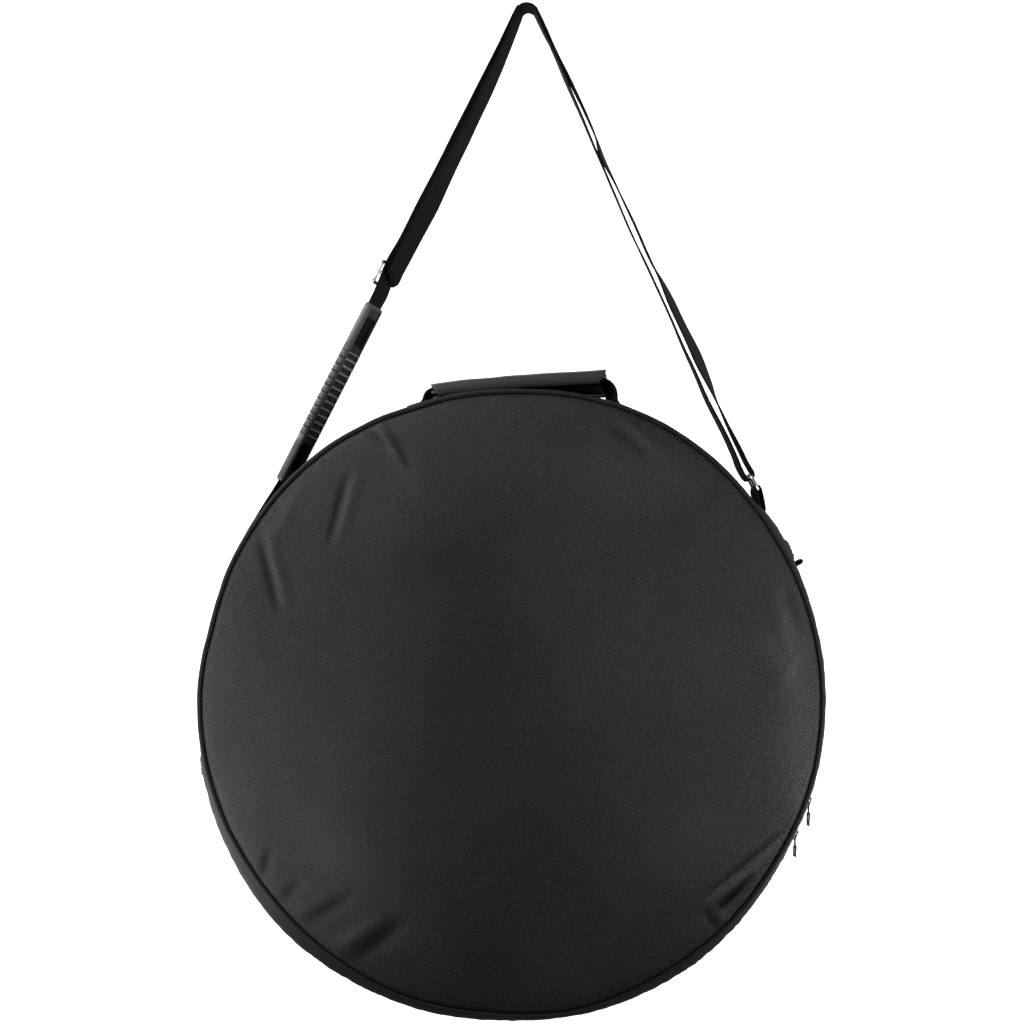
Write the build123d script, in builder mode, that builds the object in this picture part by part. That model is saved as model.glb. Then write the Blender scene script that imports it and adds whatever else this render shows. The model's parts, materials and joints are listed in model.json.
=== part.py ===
"""Round padded carrying bag for a 50 cm tam-tam gong, with the gong inside it.

Frame: +Z up, +X to the right as seen from the front, the front faces -Y.
The origin is the centre of the back panel's flat outer face.
Distances called depth are measured from that face towards the front.
"""
from build123d import *
from math import acos, asin, atan2, cos, degrees, hypot, radians, sin
import os

os.makedirs("parts", exist_ok=True)

# ---- driving dimensions of the bag (mm, degrees) ----
bag_depth = 70                # back face to front face
panel_radius = 259            # seam between a panel and its piping
piping_radius = 2.5
piping_ring = 261.8           # centre line of the piping
gusset_radius = 261           # outside of the side wall
cloth = 1.0                   # woven cover
lining = 0.6
panel_foam = 6
panel_foam_radius = 254.5
gusset_foam = 4.5
mid_depth = bag_depth / 2
seam_depth = 2 * piping_radius          # where the side wall meets the piping

# ---- zip opening ----
zip_end_right = 26            # angle round the bag, from +X towards +Z
zip_end_left = 194.5
fold_gap = 0.3                # between the bag and its flap along the fold
tape = 0.8
coil_height = 2.4
coil_width = 2.6
coil_channel = 1.4            # between the two rows
strip_gap = 6                 # each side of the zip's middle, left open by the cover
foam_gap = 9
foam_edge = 3                 # between a seam and the side wall's foam
slider_clear = 0.8
plate = 1.2

# ---- sliders and pulls ----
slider_angle_upper = -19
slider_angle_lower = -25.5
slider_length = 11
slider_width = 10
post_thickness = 0.8
bridge_length = 8
bridge_height = 3.2
bridge_width = 2
bridge_hole_length = 5.2
bridge_hole_height = 1.7
bridge_sill = 0.5             # under the bridge's hole
pull_width = 7
pull_thickness = 1.0
pull_length = 11
window_width = 3.2
window_length = 5.5
pull_bar = 1.2
ribbon_upper_length = 12
ribbon_lower_length = 17
ribbon_slot_height = -8.6     # middle of the slot, below the hinge
ribbon_slot = 1.4
ribbon_width = 4.4
ribbon_layer = 0.7
ribbon_slot_ease = 0.6        # slot longer than the ribbon is wide
ribbon_bar_ease = 0.1

# ---- gong ----
gong_radius = 250
gong_thickness = 2.2
gong_front_depth = 50
gong_rim = 28
gong_corner = 6
cord_hole_radius = 4
cord_hole_spacing = 110
cord_hole_ring = 238

# ---- strap ----
web_width = 30
web = 1.6
apex = (13.2, 576.6)          # centre of the bend at the top, in x and z
apex_radius = 14              # outside of the outer layer
swing_height = 181            # height of the axis the bag swings on
ring_bar = (207, swing_height)
ring_wire = 3.5
ring_height = 12              # between the two bar centre lines
ring_width = 36               # between the two side wire centre lines
ring_corner = 3.5
left_end = (-194.7, 173.8)    # where the webbing's line meets the side wall
web_end_gap = 10              # bare length between the side wall and the webbing
tab_width = 25
tab_slot = (4.4, 9.2)
tab_foot = (44, 34)           # length on the side wall, and how far in it is cut from
tab_lean = 4                  # degrees between the tab's foot and the ring's direction
tab_neck = 40
slot_flat = 0.05              # keeps a flat between a slot's two rounded ends
wrap_clear = 0.15             # between webbing and the wire it goes round
patch = 1.6

# ---- tri-glide and grip on the left leg, as distances up from left_end ----
glide_station = 213
glide_length = 22
glide_wire = 3.0
glide_clear = 0.3
glide_rail = 2.4
glide_side_clear = 0.6        # between the webbing's edge and a rail
loop_clear = 0.2              # between the sewn loop and the centre bar, beyond the wrap
sewn_tail = 26
grip_bottom = 22
grip_length = 165
grip_width = 33
grip_thickness = 7.5
grip_slot = 2.4
grip_ring_count = 12
grip_block = 44               # plain block at each end
grip_window = (24, 17)
grip_corner = 2.2
grip_groove = 0.9             # depth of the grooves between the rings
grip_core_corner = 1.6
grip_ring_share = 0.68        # share of the pitch that a ring takes
grip_side_ease = 0.8

# ---- carry handle ----
handle_centre = (6.7, 271)    # x and z of the wrap's centre
handle_tilt = 2.5
wrap_length = 148
wrap_width = 38
wrap_height = 14.6
wrap_cloth = 1.2
handle_foam_height = 6
closure_strip = 0.8
closure_width = 14
handle_end_left = 105.5       # angle of each end on the side wall
handle_end_right = 70.4
handle_patch_angle = 8
handle_bend = 4
handle_end_clear = 1          # between a webbing end and its patch
shoulder_reach = 7            # webbing straight beyond each end of the wrap

# ---- worked out from the driving dimensions ----
opening_half_angle = (360 - zip_end_left + zip_end_right) / 2
flap_direction = zip_end_right - opening_half_angle
fold_offset = gusset_radius * cos(radians(opening_half_angle))
flap_normal = (cos(radians(flap_direction)), 0, sin(radians(flap_direction)))
fold_plane = Plane(
    origin=(fold_offset * flap_normal[0], 0, fold_offset * flap_normal[2]),
    z_dir=flap_normal,
)
foam_outer = gusset_radius - cloth
tape_outer = foam_outer
coil_outer = tape_outer + coil_height
plate_inner_face = coil_outer + slider_clear
bridge_foot = plate_inner_face + plate
hinge_radius = bridge_foot + bridge_sill + bridge_hole_height / 2


def at_depth(depth):
    """Sketch plane parallel to the panels; extruding goes towards the front."""
    return Plane.XZ.offset(depth)


def keep_bag_side():
    split(bisect_by=fold_plane.offset(-fold_gap / 2), keep=Keep.BOTTOM)


def keep_flap_side():
    split(bisect_by=fold_plane.offset(fold_gap / 2), keep=Keep.TOP)


def finish(builder, name):
    builder.part.label = name
    export_step(builder.part, f"parts/{name}.step")


# ---------------------------------------------------------------- back of the bag
with BuildPart() as back_panel:
    with BuildSketch(at_depth(0)):
        Circle(panel_radius)
    extrude(amount=cloth)
finish(back_panel, "back_panel")

with BuildPart() as back_padding:
    with BuildSketch(at_depth(cloth)):
        Circle(panel_foam_radius)
    extrude(amount=panel_foam)
finish(back_padding, "back_padding")

with BuildPart() as back_lining:
    with BuildSketch(at_depth(cloth + panel_foam)):
        Circle(panel_foam_radius)
    extrude(amount=lining)
finish(back_lining, "back_lining")

with BuildPart() as piping_back:
    with BuildSketch(Plane.XY):
        with Locations((piping_ring, -piping_radius)):
            Circle(piping_radius)
    revolve(axis=Axis.Y)
finish(piping_back, "piping_back")


# ------------------------------------------- front panel, in two halves at the fold
def front_disc(radius, depth, thickness):
    with BuildSketch(at_depth(depth)) as outline:
        Circle(radius)
    extrude(outline.sketch, amount=thickness)


foam_depth = bag_depth - cloth - panel_foam

with BuildPart() as front_panel_upper:
    front_disc(panel_radius, bag_depth - cloth, cloth)
    keep_bag_side()
finish(front_panel_upper, "front_panel_upper")

with BuildPart() as front_panel_flap:
    front_disc(panel_radius, bag_depth - cloth, cloth)
    keep_flap_side()
finish(front_panel_flap, "front_panel_flap")

with BuildPart() as front_padding_upper:
    front_disc(panel_foam_radius, foam_depth, panel_foam)
    keep_bag_side()
finish(front_padding_upper, "front_padding_upper")

with BuildPart() as front_padding_flap:
    front_disc(panel_foam_radius, foam_depth, panel_foam)
    keep_flap_side()
finish(front_padding_flap, "front_padding_flap")

with BuildPart() as front_lining_upper:
    front_disc(panel_foam_radius, foam_depth - lining, lining)
    keep_bag_side()
finish(front_lining_upper, "front_lining_upper")

with BuildPart() as front_lining_flap:
    front_disc(panel_foam_radius, foam_depth - lining, lining)
    keep_flap_side()
finish(front_lining_flap, "front_lining_flap")

with BuildPart() as piping_front_upper:
    with BuildSketch(Plane.XY):
        with Locations((piping_ring, piping_radius - bag_depth)):
            Circle(piping_radius)
    revolve(axis=Axis.Y)
    keep_bag_side()
finish(piping_front_upper, "piping_front_upper")

with BuildPart() as piping_front_flap:
    with BuildSketch(Plane.XY):
        with Locations((piping_ring, piping_radius - bag_depth)):
            Circle(piping_radius)
    revolve(axis=Axis.Y)
    keep_flap_side()
finish(piping_front_flap, "piping_front_flap")


# ------------------------------------------------------------------ side wall
def wall(inner, outer, depth_from, depth_to):
    with BuildSketch(at_depth(depth_from)) as outline:
        Circle(outer)
        Circle(inner, mode=Mode.SUBTRACT)
    extrude(outline.sketch, amount=depth_to - depth_from)


foam_inner = foam_outer - gusset_foam
wall_end = bag_depth - seam_depth
foam_margin = seam_depth + foam_edge

with BuildPart() as gusset_upper:
    wall(foam_outer, gusset_radius, seam_depth, wall_end)
    keep_bag_side()
finish(gusset_upper, "gusset_upper")

with BuildPart() as gusset_padding_upper:
    wall(foam_inner, foam_outer, foam_margin, bag_depth - foam_margin)
    keep_bag_side()
finish(gusset_padding_upper, "gusset_padding_upper")

with BuildPart() as gusset_back_strip:
    wall(foam_outer, gusset_radius, seam_depth, mid_depth - strip_gap)
    keep_flap_side()
finish(gusset_back_strip, "gusset_back_strip")

with BuildPart() as gusset_padding_back:
    wall(foam_inner, foam_outer, foam_margin, mid_depth - foam_gap)
    keep_flap_side()
finish(gusset_padding_back, "gusset_padding_back")

with BuildPart() as gusset_front_strip:
    wall(foam_outer, gusset_radius, mid_depth + strip_gap, wall_end)
    keep_flap_side()
finish(gusset_front_strip, "gusset_front_strip")

with BuildPart() as gusset_padding_front:
    wall(foam_inner, foam_outer, mid_depth + foam_gap, bag_depth - foam_margin)
    keep_flap_side()
finish(gusset_padding_front, "gusset_padding_front")

# ------------------------------------------------------------------------ zip
coil_near = coil_channel / 2
coil_far = coil_near + coil_width

with BuildPart() as zip_tape_back:
    wall(tape_outer - tape, tape_outer, mid_depth - foam_gap, mid_depth - coil_near)
    keep_flap_side()
finish(zip_tape_back, "zip_tape_back")

with BuildPart() as zip_coil_back:
    wall(tape_outer, coil_outer, mid_depth - coil_far, mid_depth - coil_near)
    keep_flap_side()
finish(zip_coil_back, "zip_coil_back")

with BuildPart() as zip_tape_front:
    wall(tape_outer - tape, tape_outer, mid_depth + coil_near, mid_depth + foam_gap)
    keep_flap_side()
finish(zip_tape_front, "zip_tape_front")

with BuildPart() as zip_coil_front:
    wall(tape_outer, coil_outer, mid_depth + coil_near, mid_depth + coil_far)
    keep_flap_side()
finish(zip_coil_front, "zip_coil_front")


def radial_plane(angle):
    """Plane through the bag's middle depth: local x points outwards, y round the bag."""
    turn = radians(angle)
    return Plane(origin=(0, -mid_depth, 0), x_dir=(cos(turn), 0, sin(turn)), z_dir=(0, -1, 0))


def wall_patch(angle, angle_width, width, thickness=patch):
    """A strip sewn flat on the side wall, centred at an angle round the bag."""
    outer = gusset_radius + thickness
    chord = 2 * outer * sin(radians(angle_width / 2))
    with BuildSketch(radial_plane(angle)) as outline:
        Circle(outer)
        Circle(gusset_radius, mode=Mode.SUBTRACT)
        with Locations((outer, 0)):
            Rectangle(outer / 2, chord, mode=Mode.INTERSECT)
    extrude(outline.sketch, amount=width / 2, both=True)


end_patch_angle = 3.5
end_patch_width = 34
fold_clear_angle = 0.6

with BuildPart() as zip_end_patch_right:
    wall_patch(zip_end_right + end_patch_angle / 2 + fold_clear_angle, end_patch_angle,
               end_patch_width)
finish(zip_end_patch_right, "zip_end_patch_right")

with BuildPart() as zip_end_patch_left:
    wall_patch(zip_end_left - end_patch_angle / 2 - fold_clear_angle, end_patch_angle,
               end_patch_width)
finish(zip_end_patch_left, "zip_end_patch_left")

pull_tab_reach = 9
pull_tab_thickness = 2.4
pull_tab_width = 16
with BuildPart() as zip_end_tab:
    with BuildSketch(radial_plane(zip_end_right + end_patch_angle / 2)):
        with Locations((gusset_radius + patch, 0)):
            Rectangle(pull_tab_reach, pull_tab_thickness, align=(Align.MIN, Align.CENTER))
    extrude(amount=pull_tab_width / 2, both=True)
finish(zip_end_tab, "zip_end_tab")


# -------------------------------------------------------------- sliders and pulls
def slider_body(angle):
    frame = radial_plane(angle)
    plate_centre = plate_inner_face + plate / 2
    inner_plate = tape_outer - tape - slider_clear - plate / 2
    with BuildSketch(frame) as plates:
        with Locations((plate_centre, 0), (inner_plate, 0)):
            Rectangle(plate, slider_length)
    extrude(plates.sketch, amount=slider_width / 2, both=True)
    with BuildSketch(frame) as post:
        with Locations(((plate_centre + inner_plate) / 2, 0)):
            Rectangle(plate_centre - inner_plate, slider_length / 2)
    extrude(post.sketch, amount=post_thickness / 2, both=True)
    with BuildSketch(frame) as bridge:
        with Locations((bridge_foot - plate / 2, 0)):
            Rectangle(bridge_height + plate / 2, bridge_length, align=(Align.MIN, Align.CENTER))
        with Locations((hinge_radius, 0)):
            Rectangle(bridge_hole_height, bridge_hole_length, mode=Mode.SUBTRACT)
    extrude(bridge.sketch, amount=bridge_width / 2, both=True)


def hinge_point(angle):
    turn = radians(angle)
    return (hinge_radius * cos(turn), -mid_depth, hinge_radius * sin(turn))


def hanging_plane(angle):
    """Plane of a pull that hangs straight down from a slider's bridge; local y is up."""
    return Plane(origin=hinge_point(angle), x_dir=(0, 1, 0), z_dir=(1, 0, 0))


def pull_leaf(angle):
    with BuildSketch(hanging_plane(angle)) as leaf:
        with Locations((0, pull_bar / 2)):
            Rectangle(pull_width, pull_length, align=(Align.CENTER, Align.MAX))
        with Locations((0, -pull_bar / 2)):
            Rectangle(window_width, window_length,
                      align=(Align.CENTER, Align.MAX), mode=Mode.SUBTRACT)
        with Locations((0, ribbon_slot_height)):
            Rectangle(ribbon_width + ribbon_slot_ease, ribbon_slot, mode=Mode.SUBTRACT)
    extrude(leaf.sketch, amount=pull_thickness / 2, both=True)


def ribbon(angle, length):
    """Folded ribbon round the bar under the pull's slot, its two tails hanging together."""
    side = Plane(origin=hinge_point(angle), x_dir=(1, 0, 0), z_dir=(0, -1, 0))
    bar_bottom = pull_bar / 2 - pull_length
    bar_top = ribbon_slot_height - ribbon_slot / 2
    with BuildSketch(side) as fold:
        with Locations((0, bar_top + ribbon_layer)):
            Rectangle(pull_thickness + 2 * ribbon_layer, length, align=(Align.CENTER, Align.MAX))
        with Locations((0, (bar_bottom + bar_top) / 2)):
            Rectangle(pull_thickness + ribbon_bar_ease, bar_top - bar_bottom + ribbon_bar_ease,
                      mode=Mode.SUBTRACT)
    extrude(fold.sketch, amount=ribbon_width / 2, both=True)


with BuildPart() as slider_upper:
    slider_body(slider_angle_upper)
finish(slider_upper, "slider_upper")

with BuildPart() as slider_lower:
    slider_body(slider_angle_lower)
finish(slider_lower, "slider_lower")

with BuildPart() as pull_upper:
    pull_leaf(slider_angle_upper)
finish(pull_upper, "pull_upper")

with BuildPart() as pull_lower:
    pull_leaf(slider_angle_lower)
finish(pull_lower, "pull_lower")

with BuildPart() as ribbon_upper:
    ribbon(slider_angle_upper, ribbon_upper_length)
finish(ribbon_upper, "ribbon_upper")

with BuildPart() as ribbon_lower:
    ribbon(slider_angle_lower, ribbon_lower_length)
finish(ribbon_lower, "ribbon_lower")

# --------------------------------------------------------------------------- gong
with BuildPart() as gong:
    with BuildSketch(at_depth(gong_front_depth - gong_rim)):
        Circle(gong_radius)
    extrude(amount=gong_rim)
    fillet(gong.edges().filter_by(GeomType.CIRCLE).sort_by(Axis.Y)[0], radius=gong_corner)
    with BuildSketch(at_depth(gong_front_depth - gong_rim)):
        Circle(gong_radius - gong_thickness)
    extrude(amount=gong_rim - gong_thickness, mode=Mode.SUBTRACT)
    with BuildSketch(at_depth(gong_front_depth - gong_rim)):
        hole_height = (cord_hole_ring**2 - (cord_hole_spacing / 2) ** 2) ** 0.5
        with Locations((-cord_hole_spacing / 2, hole_height), (cord_hole_spacing / 2, hole_height)):
            Circle(cord_hole_radius)
    extrude(amount=gong_rim, mode=Mode.SUBTRACT)
finish(gong, "gong")

# ------------------------------------------------- ring tab and strap's sewn patches
ring_tab_angle = degrees(atan2(ring_bar[1], ring_bar[0]))
with BuildPart() as ring_tab:
    slot_width, slot_height = tab_slot
    with BuildSketch(Plane.XZ.offset(mid_depth)) as tab_outline:
        Circle(gusset_radius + patch)
        with Locations(Location((ring_bar[0], ring_bar[1]), ring_tab_angle - tab_lean)):
            Rectangle(*tab_foot, align=(Align.MAX, Align.MAX), mode=Mode.INTERSECT)
        with Locations(ring_bar):
            Rectangle(2 * web, tab_neck, align=(Align.CENTER, Align.MAX))
            RectangleRounded(slot_width + 2 * web, slot_height + 2 * web,
                             slot_width / 2 + web - slot_flat)
            RectangleRounded(slot_width, slot_height, slot_width / 2 - slot_flat,
                             mode=Mode.SUBTRACT)
        Circle(gusset_radius, mode=Mode.SUBTRACT)
    extrude(amount=tab_width / 2, both=True)
finish(ring_tab, "ring_tab")

left_end_angle = degrees(atan2(left_end[1], left_end[0]))
strap_patch_angle = 11
strap_patch_gap = 1           # degrees beyond the webbing's end
with BuildPart() as strap_patch_left:
    wall_patch(left_end_angle + strap_patch_angle / 2 + strap_patch_gap, strap_patch_angle, web_width)
finish(strap_patch_left, "strap_patch_left")

with BuildPart() as handle_patch_left:
    wall_patch(handle_end_left, handle_patch_angle, web_width)
finish(handle_patch_left, "handle_patch_left")

with BuildPart() as handle_patch_right:
    wall_patch(handle_end_right, handle_patch_angle, web_width)
finish(handle_patch_right, "handle_patch_right")


# -------------------------------------------------------------------- strap runs
def common_tangent(start, start_radius, end, end_radius):
    """Ends of the line that touches two circles; a positive radius keeps its circle
    on the right of the line's direction of travel."""
    across, up = end[0] - start[0], end[1] - start[1]
    length = hypot(across, up)
    turn = atan2(up, across) - asin((start_radius - end_radius) / length)
    left = (-sin(turn), cos(turn))
    first = (start[0] + start_radius * left[0], start[1] + start_radius * left[1])
    last = (end[0] + end_radius * left[0], end[1] + end_radius * left[1])
    return first, last


def station_plane(point, direction):
    """Plane across a strap run: local x runs along the bag's depth."""
    return Plane(origin=(point[0], -mid_depth, point[1]), x_dir=(0, 1, 0),
                 z_dir=(direction[0], 0, direction[1]))


def unit(start, end):
    length = hypot(end[0] - start[0], end[1] - start[1])
    return ((end[0] - start[0]) / length, (end[1] - start[1]) / length)


def web_run(start, end):
    """Straight length of webbing between two points of its middle line."""
    with BuildSketch(station_plane(start, unit(start, end))) as section:
        Rectangle(web_width, web)
    extrude(section.sketch, amount=hypot(end[0] - start[0], end[1] - start[1]))


def bend_angle(centre, point):
    return degrees(atan2(point[1] - centre[1], point[0] - centre[0]))


def web_bend(centre, radius, first_angle, last_angle):
    """Bend of the webbing, by its middle line's radius, anticlockwise from the front."""
    across, up = cos(radians(first_angle)), sin(radians(first_angle))
    start = (centre[0] + radius * across, centre[1] + radius * up)
    with BuildSketch(station_plane(start, (-up, across))) as section:
        Rectangle(web_width, web)
    bend_axis = Axis((centre[0], 0, centre[1]), (0, -1, 0))
    revolve(section.sketch, axis=bend_axis, revolution_arc=last_angle - first_angle)


outer_bend = apex_radius - web / 2
inner_bend = apex_radius - 3 * web / 2
ring_lean = unit(ring_bar, apex)
ring_top_bar = (ring_bar[0] + ring_height * ring_lean[0], ring_bar[1] + ring_height * ring_lean[1])
ring_bend = ring_wire / 2 + wrap_clear + web / 2

right_outer_top, right_outer_foot = common_tangent(apex, outer_bend, ring_top_bar, ring_bend)
right_inner_top, right_inner_foot = common_tangent(apex, inner_bend, ring_top_bar, -ring_bend)
left_outer_top = common_tangent(left_end, 0, apex, outer_bend)[1]
leg = unit(left_end, left_outer_top)
leg_out = (-leg[1], leg[0])
leg_length = hypot(left_outer_top[0] - left_end[0], left_outer_top[1] - left_end[1])


def leg_point(station, outwards=0.0):
    """Point beside the left leg, by distance up it and distance out from its middle."""
    return (left_end[0] + station * leg[0] + outwards * leg_out[0],
            left_end[1] + station * leg[1] + outwards * leg_out[1])


left_inner_top = leg_point(leg_length, -web)

with BuildPart() as strap_apex_outer:
    web_bend(apex, outer_bend, bend_angle(apex, right_outer_top), bend_angle(apex, left_outer_top))
finish(strap_apex_outer, "strap_apex_outer")

with BuildPart() as strap_apex_inner:
    web_bend(apex, inner_bend, bend_angle(apex, right_inner_top), bend_angle(apex, left_inner_top))
finish(strap_apex_inner, "strap_apex_inner")

with BuildPart() as strap_right_outer:
    web_run(right_outer_top, right_outer_foot)
finish(strap_right_outer, "strap_right_outer")

with BuildPart() as strap_right_inner:
    web_run(right_inner_top, right_inner_foot)
finish(strap_right_inner, "strap_right_inner")

with BuildPart() as strap_ring_turn:
    web_bend(ring_top_bar, ring_bend, bend_angle(ring_top_bar, right_inner_foot),
             bend_angle(ring_top_bar, right_outer_foot) + 360)
finish(strap_ring_turn, "strap_ring_turn")

with BuildPart() as strap_left_long:
    web_run(leg_point(web_end_gap), left_outer_top)
finish(strap_left_long, "strap_left_long")

with BuildPart() as strap_left_doubled:
    web_run(leg_point(glide_station, -web), left_inner_top)
finish(strap_left_doubled, "strap_left_doubled")

# --------------------------------------------------------------------- right ring
ring_frame = Plane(origin=(ring_bar[0], -mid_depth, ring_bar[1]), x_dir=(0, 1, 0),
                   z_dir=(-ring_lean[1], 0, ring_lean[0]))
with BuildSketch(ring_frame) as ring_outline:
    with Locations((0, ring_height / 2)):
        RectangleRounded(ring_width, ring_height, ring_corner)

with BuildPart() as ring_right:
    ring_path = ring_outline.sketch.face().outer_wire()
    with BuildSketch(Plane(origin=ring_path @ 0, z_dir=ring_path % 0)):
        Circle(ring_wire / 2)
    sweep(path=ring_path)
finish(ring_right, "ring_right")

# ------------------------------------------------ tri-glide and the strap's sewn end
glide_out = web / 2 + glide_clear + web + loop_clear + glide_wire / 2    # centre bar
glide_in = 3 * web / 2 + glide_clear + glide_wire / 2             # outer bars
glide_half_width = web_width / 2 + glide_side_clear + glide_rail / 2


def upright_side_plane(station):
    """Plane seen from the front: local x runs in from the leg's outer side, y up it."""
    centre = leg_point(station)
    return Plane(origin=(centre[0], -mid_depth, centre[1]), x_dir=(-leg_out[0], 0, -leg_out[1]),
                 z_dir=(0, -1, 0))


with BuildPart() as tri_glide:
    bar_reach = glide_length / 2 - glide_wire / 2
    with BuildSketch(upright_side_plane(glide_station)) as bars:
        with Locations((glide_in, bar_reach), (glide_in, -bar_reach), (-glide_out, 0)):
            Circle(glide_wire / 2)
    extrude(amount=glide_half_width, both=True)
    with BuildSketch(upright_side_plane(glide_station)) as rails:
        with BuildLine():
            Polyline((glide_in, bar_reach), (glide_in, -bar_reach), (-glide_out, 0), close=True)
        make_face()
        offset(amount=glide_wire / 2)
    extrude(amount=glide_half_width + glide_rail / 2, both=True)
    with BuildSketch(upright_side_plane(glide_station)) as between_rails:
        with BuildLine():
            Polyline((glide_in, bar_reach), (glide_in, -bar_reach), (-glide_out, 0), close=True)
        make_face()
        offset(amount=glide_wire / 2)
        with Locations((glide_in, bar_reach), (glide_in, -bar_reach), (-glide_out, 0)):
            Circle(glide_wire / 2, mode=Mode.SUBTRACT)
    extrude(amount=glide_half_width - glide_rail / 2, both=True, mode=Mode.SUBTRACT)
finish(tri_glide, "tri_glide")

with BuildPart() as strap_sewn_end:
    loop_inner = glide_wire / 2 + wrap_clear
    loop_outer = loop_inner + web
    with BuildSketch(upright_side_plane(glide_station)) as loop:
        with Locations((-glide_out, 0)):
            Circle(loop_outer)
        with Locations((loop_outer - glide_out, loop_inner)):
            Rectangle(2 * web, sewn_tail, align=(Align.MAX, Align.MIN))
        with Locations((-glide_out, 0)):
            Circle(loop_inner, mode=Mode.SUBTRACT)
    extrude(amount=web_width / 2, both=True)
finish(strap_sewn_end, "strap_sewn_end")

# --------------------------------------------------------------------------- grip
with BuildPart() as grip:
    ring_pitch = (grip_length - 2 * grip_block) / grip_ring_count
    with BuildSketch(station_plane(leg_point(grip_bottom), leg)):
        RectangleRounded(grip_width - 2 * grip_groove, grip_thickness - 2 * grip_groove, grip_core_corner)
    extrude(amount=grip_length)
    with BuildSketch(station_plane(leg_point(grip_bottom), leg)):
        RectangleRounded(grip_width, grip_thickness, grip_corner)
    extrude(amount=grip_block)
    with BuildSketch(station_plane(leg_point(grip_bottom + grip_length - grip_block), leg)):
        RectangleRounded(grip_width, grip_thickness, grip_corner)
    extrude(amount=grip_block)
    for ring in range(grip_ring_count):
        ring_middle = grip_bottom + grip_block + (ring + 0.5) * ring_pitch
        ring_start = ring_middle - grip_ring_share * ring_pitch / 2
        with BuildSketch(station_plane(leg_point(ring_start), leg)):
            RectangleRounded(grip_width, grip_thickness, grip_corner)
        extrude(amount=ring_pitch * grip_ring_share)
    with BuildSketch(station_plane(leg_point(grip_bottom), leg)):
        Rectangle(web_width + grip_side_ease, grip_slot)
    extrude(amount=grip_length, mode=Mode.SUBTRACT)
    window_length_along, window_across = grip_window
    for window_station in (grip_bottom + grip_block / 2, grip_bottom + grip_length - grip_block / 2):
        with BuildSketch(Plane(origin=(leg_point(window_station)[0], -mid_depth,
                                       leg_point(window_station)[1]),
                               x_dir=(0, 1, 0), z_dir=(-leg_out[0], 0, -leg_out[1]))):
            Rectangle(window_across, window_length_along)
        extrude(amount=grip_thickness, both=True, mode=Mode.SUBTRACT)
finish(grip, "grip")

# ------------------------------------------------------------------- carry handle
tilt = (cos(radians(handle_tilt)), sin(radians(handle_tilt)))
wrap_start = (handle_centre[0] - wrap_length / 2 * tilt[0],
              handle_centre[1] - wrap_length / 2 * tilt[1])
# local x runs towards the back, local y upwards, from the wrap's lower front corner
wrap_corner = (wrap_start[0] + wrap_height / 2 * tilt[1], wrap_start[1] - wrap_height / 2 * tilt[0])
wrap_front = -mid_depth - wrap_width / 2
wrap_frame = Plane(origin=(wrap_corner[0], wrap_front, wrap_corner[1]), x_dir=(0, 1, 0),
                   z_dir=(tilt[0], 0, tilt[1]))
cover_gap = 0.3
closure_gap = 0.2
sleeve_top = wrap_height - wrap_cloth - 2 * closure_strip - closure_gap
cover_reach = wrap_width / 2 + closure_width / 2

with BuildPart() as wrap_sleeve:
    with BuildSketch(wrap_frame):
        with BuildLine():
            Polyline(
                (wrap_cloth + cover_gap, 0), (wrap_width, 0), (wrap_width, sleeve_top),
                (cover_reach - closure_width, sleeve_top),
                (cover_reach - closure_width, sleeve_top - wrap_cloth),
                (wrap_width - wrap_cloth, sleeve_top - wrap_cloth),
                (wrap_width - wrap_cloth, wrap_cloth), (wrap_cloth + cover_gap, wrap_cloth),
                close=True)
        make_face()
    extrude(amount=wrap_length)
finish(wrap_sleeve, "wrap_sleeve")

with BuildPart() as wrap_cover:
    with BuildSketch(wrap_frame):
        with BuildLine():
            Polyline(
                (0, 0), (wrap_cloth, 0), (wrap_cloth, wrap_height - wrap_cloth),
                (cover_reach, wrap_height - wrap_cloth), (cover_reach, wrap_height),
                (0, wrap_height), close=True)
        make_face()
    extrude(amount=wrap_length)
finish(wrap_cover, "wrap_cover")

with BuildPart() as loop_strip:
    with BuildSketch(wrap_frame):
        with Locations((cover_reach, sleeve_top)):
            Rectangle(closure_width, closure_strip, align=(Align.MAX, Align.MIN))
    extrude(amount=wrap_length)
finish(loop_strip, "loop_strip")

with BuildPart() as hook_strip:
    with BuildSketch(wrap_frame):
        with Locations((cover_reach, wrap_height - wrap_cloth)):
            Rectangle(closure_width, closure_strip, align=(Align.MAX, Align.MAX))
    extrude(amount=wrap_length)
finish(hook_strip, "hook_strip")

with BuildPart() as handle_foam:
    with BuildSketch(wrap_frame):
        with Locations((wrap_width / 2, wrap_cloth + 2 * web)):
            Rectangle(web_width, handle_foam_height, align=(Align.CENTER, Align.MIN))
    extrude(amount=wrap_length)
finish(handle_foam, "handle_foam")

handle_end_radius = gusset_radius + patch + handle_end_clear


def handle_end(angle):
    return (handle_end_radius * cos(radians(angle)), handle_end_radius * sin(radians(angle)))


def wrap_point(along, height):
    """Point beside the wrap, by distance along its underside and height above it."""
    return (wrap_corner[0] + along * tilt[0] - height * tilt[1],
            wrap_corner[1] + along * tilt[1] + height * tilt[0])


left_shoulder = wrap_point(-shoulder_reach, wrap_cloth + web)
right_shoulder = wrap_point(wrap_length + shoulder_reach, wrap_cloth + web)

with BuildPart() as handle_webbing:
    with BuildLine(Plane.XZ.offset(mid_depth)):
        handle_route = FilletPolyline(handle_end(handle_end_left), left_shoulder,
                                      right_shoulder, handle_end(handle_end_right),
                                      radius=handle_bend)
    with BuildSketch(Plane(origin=handle_route @ 0, x_dir=(0, 1, 0), z_dir=handle_route % 0)):
        Rectangle(web_width, 2 * web)
    sweep()
finish(handle_webbing, "handle_webbing")

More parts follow.
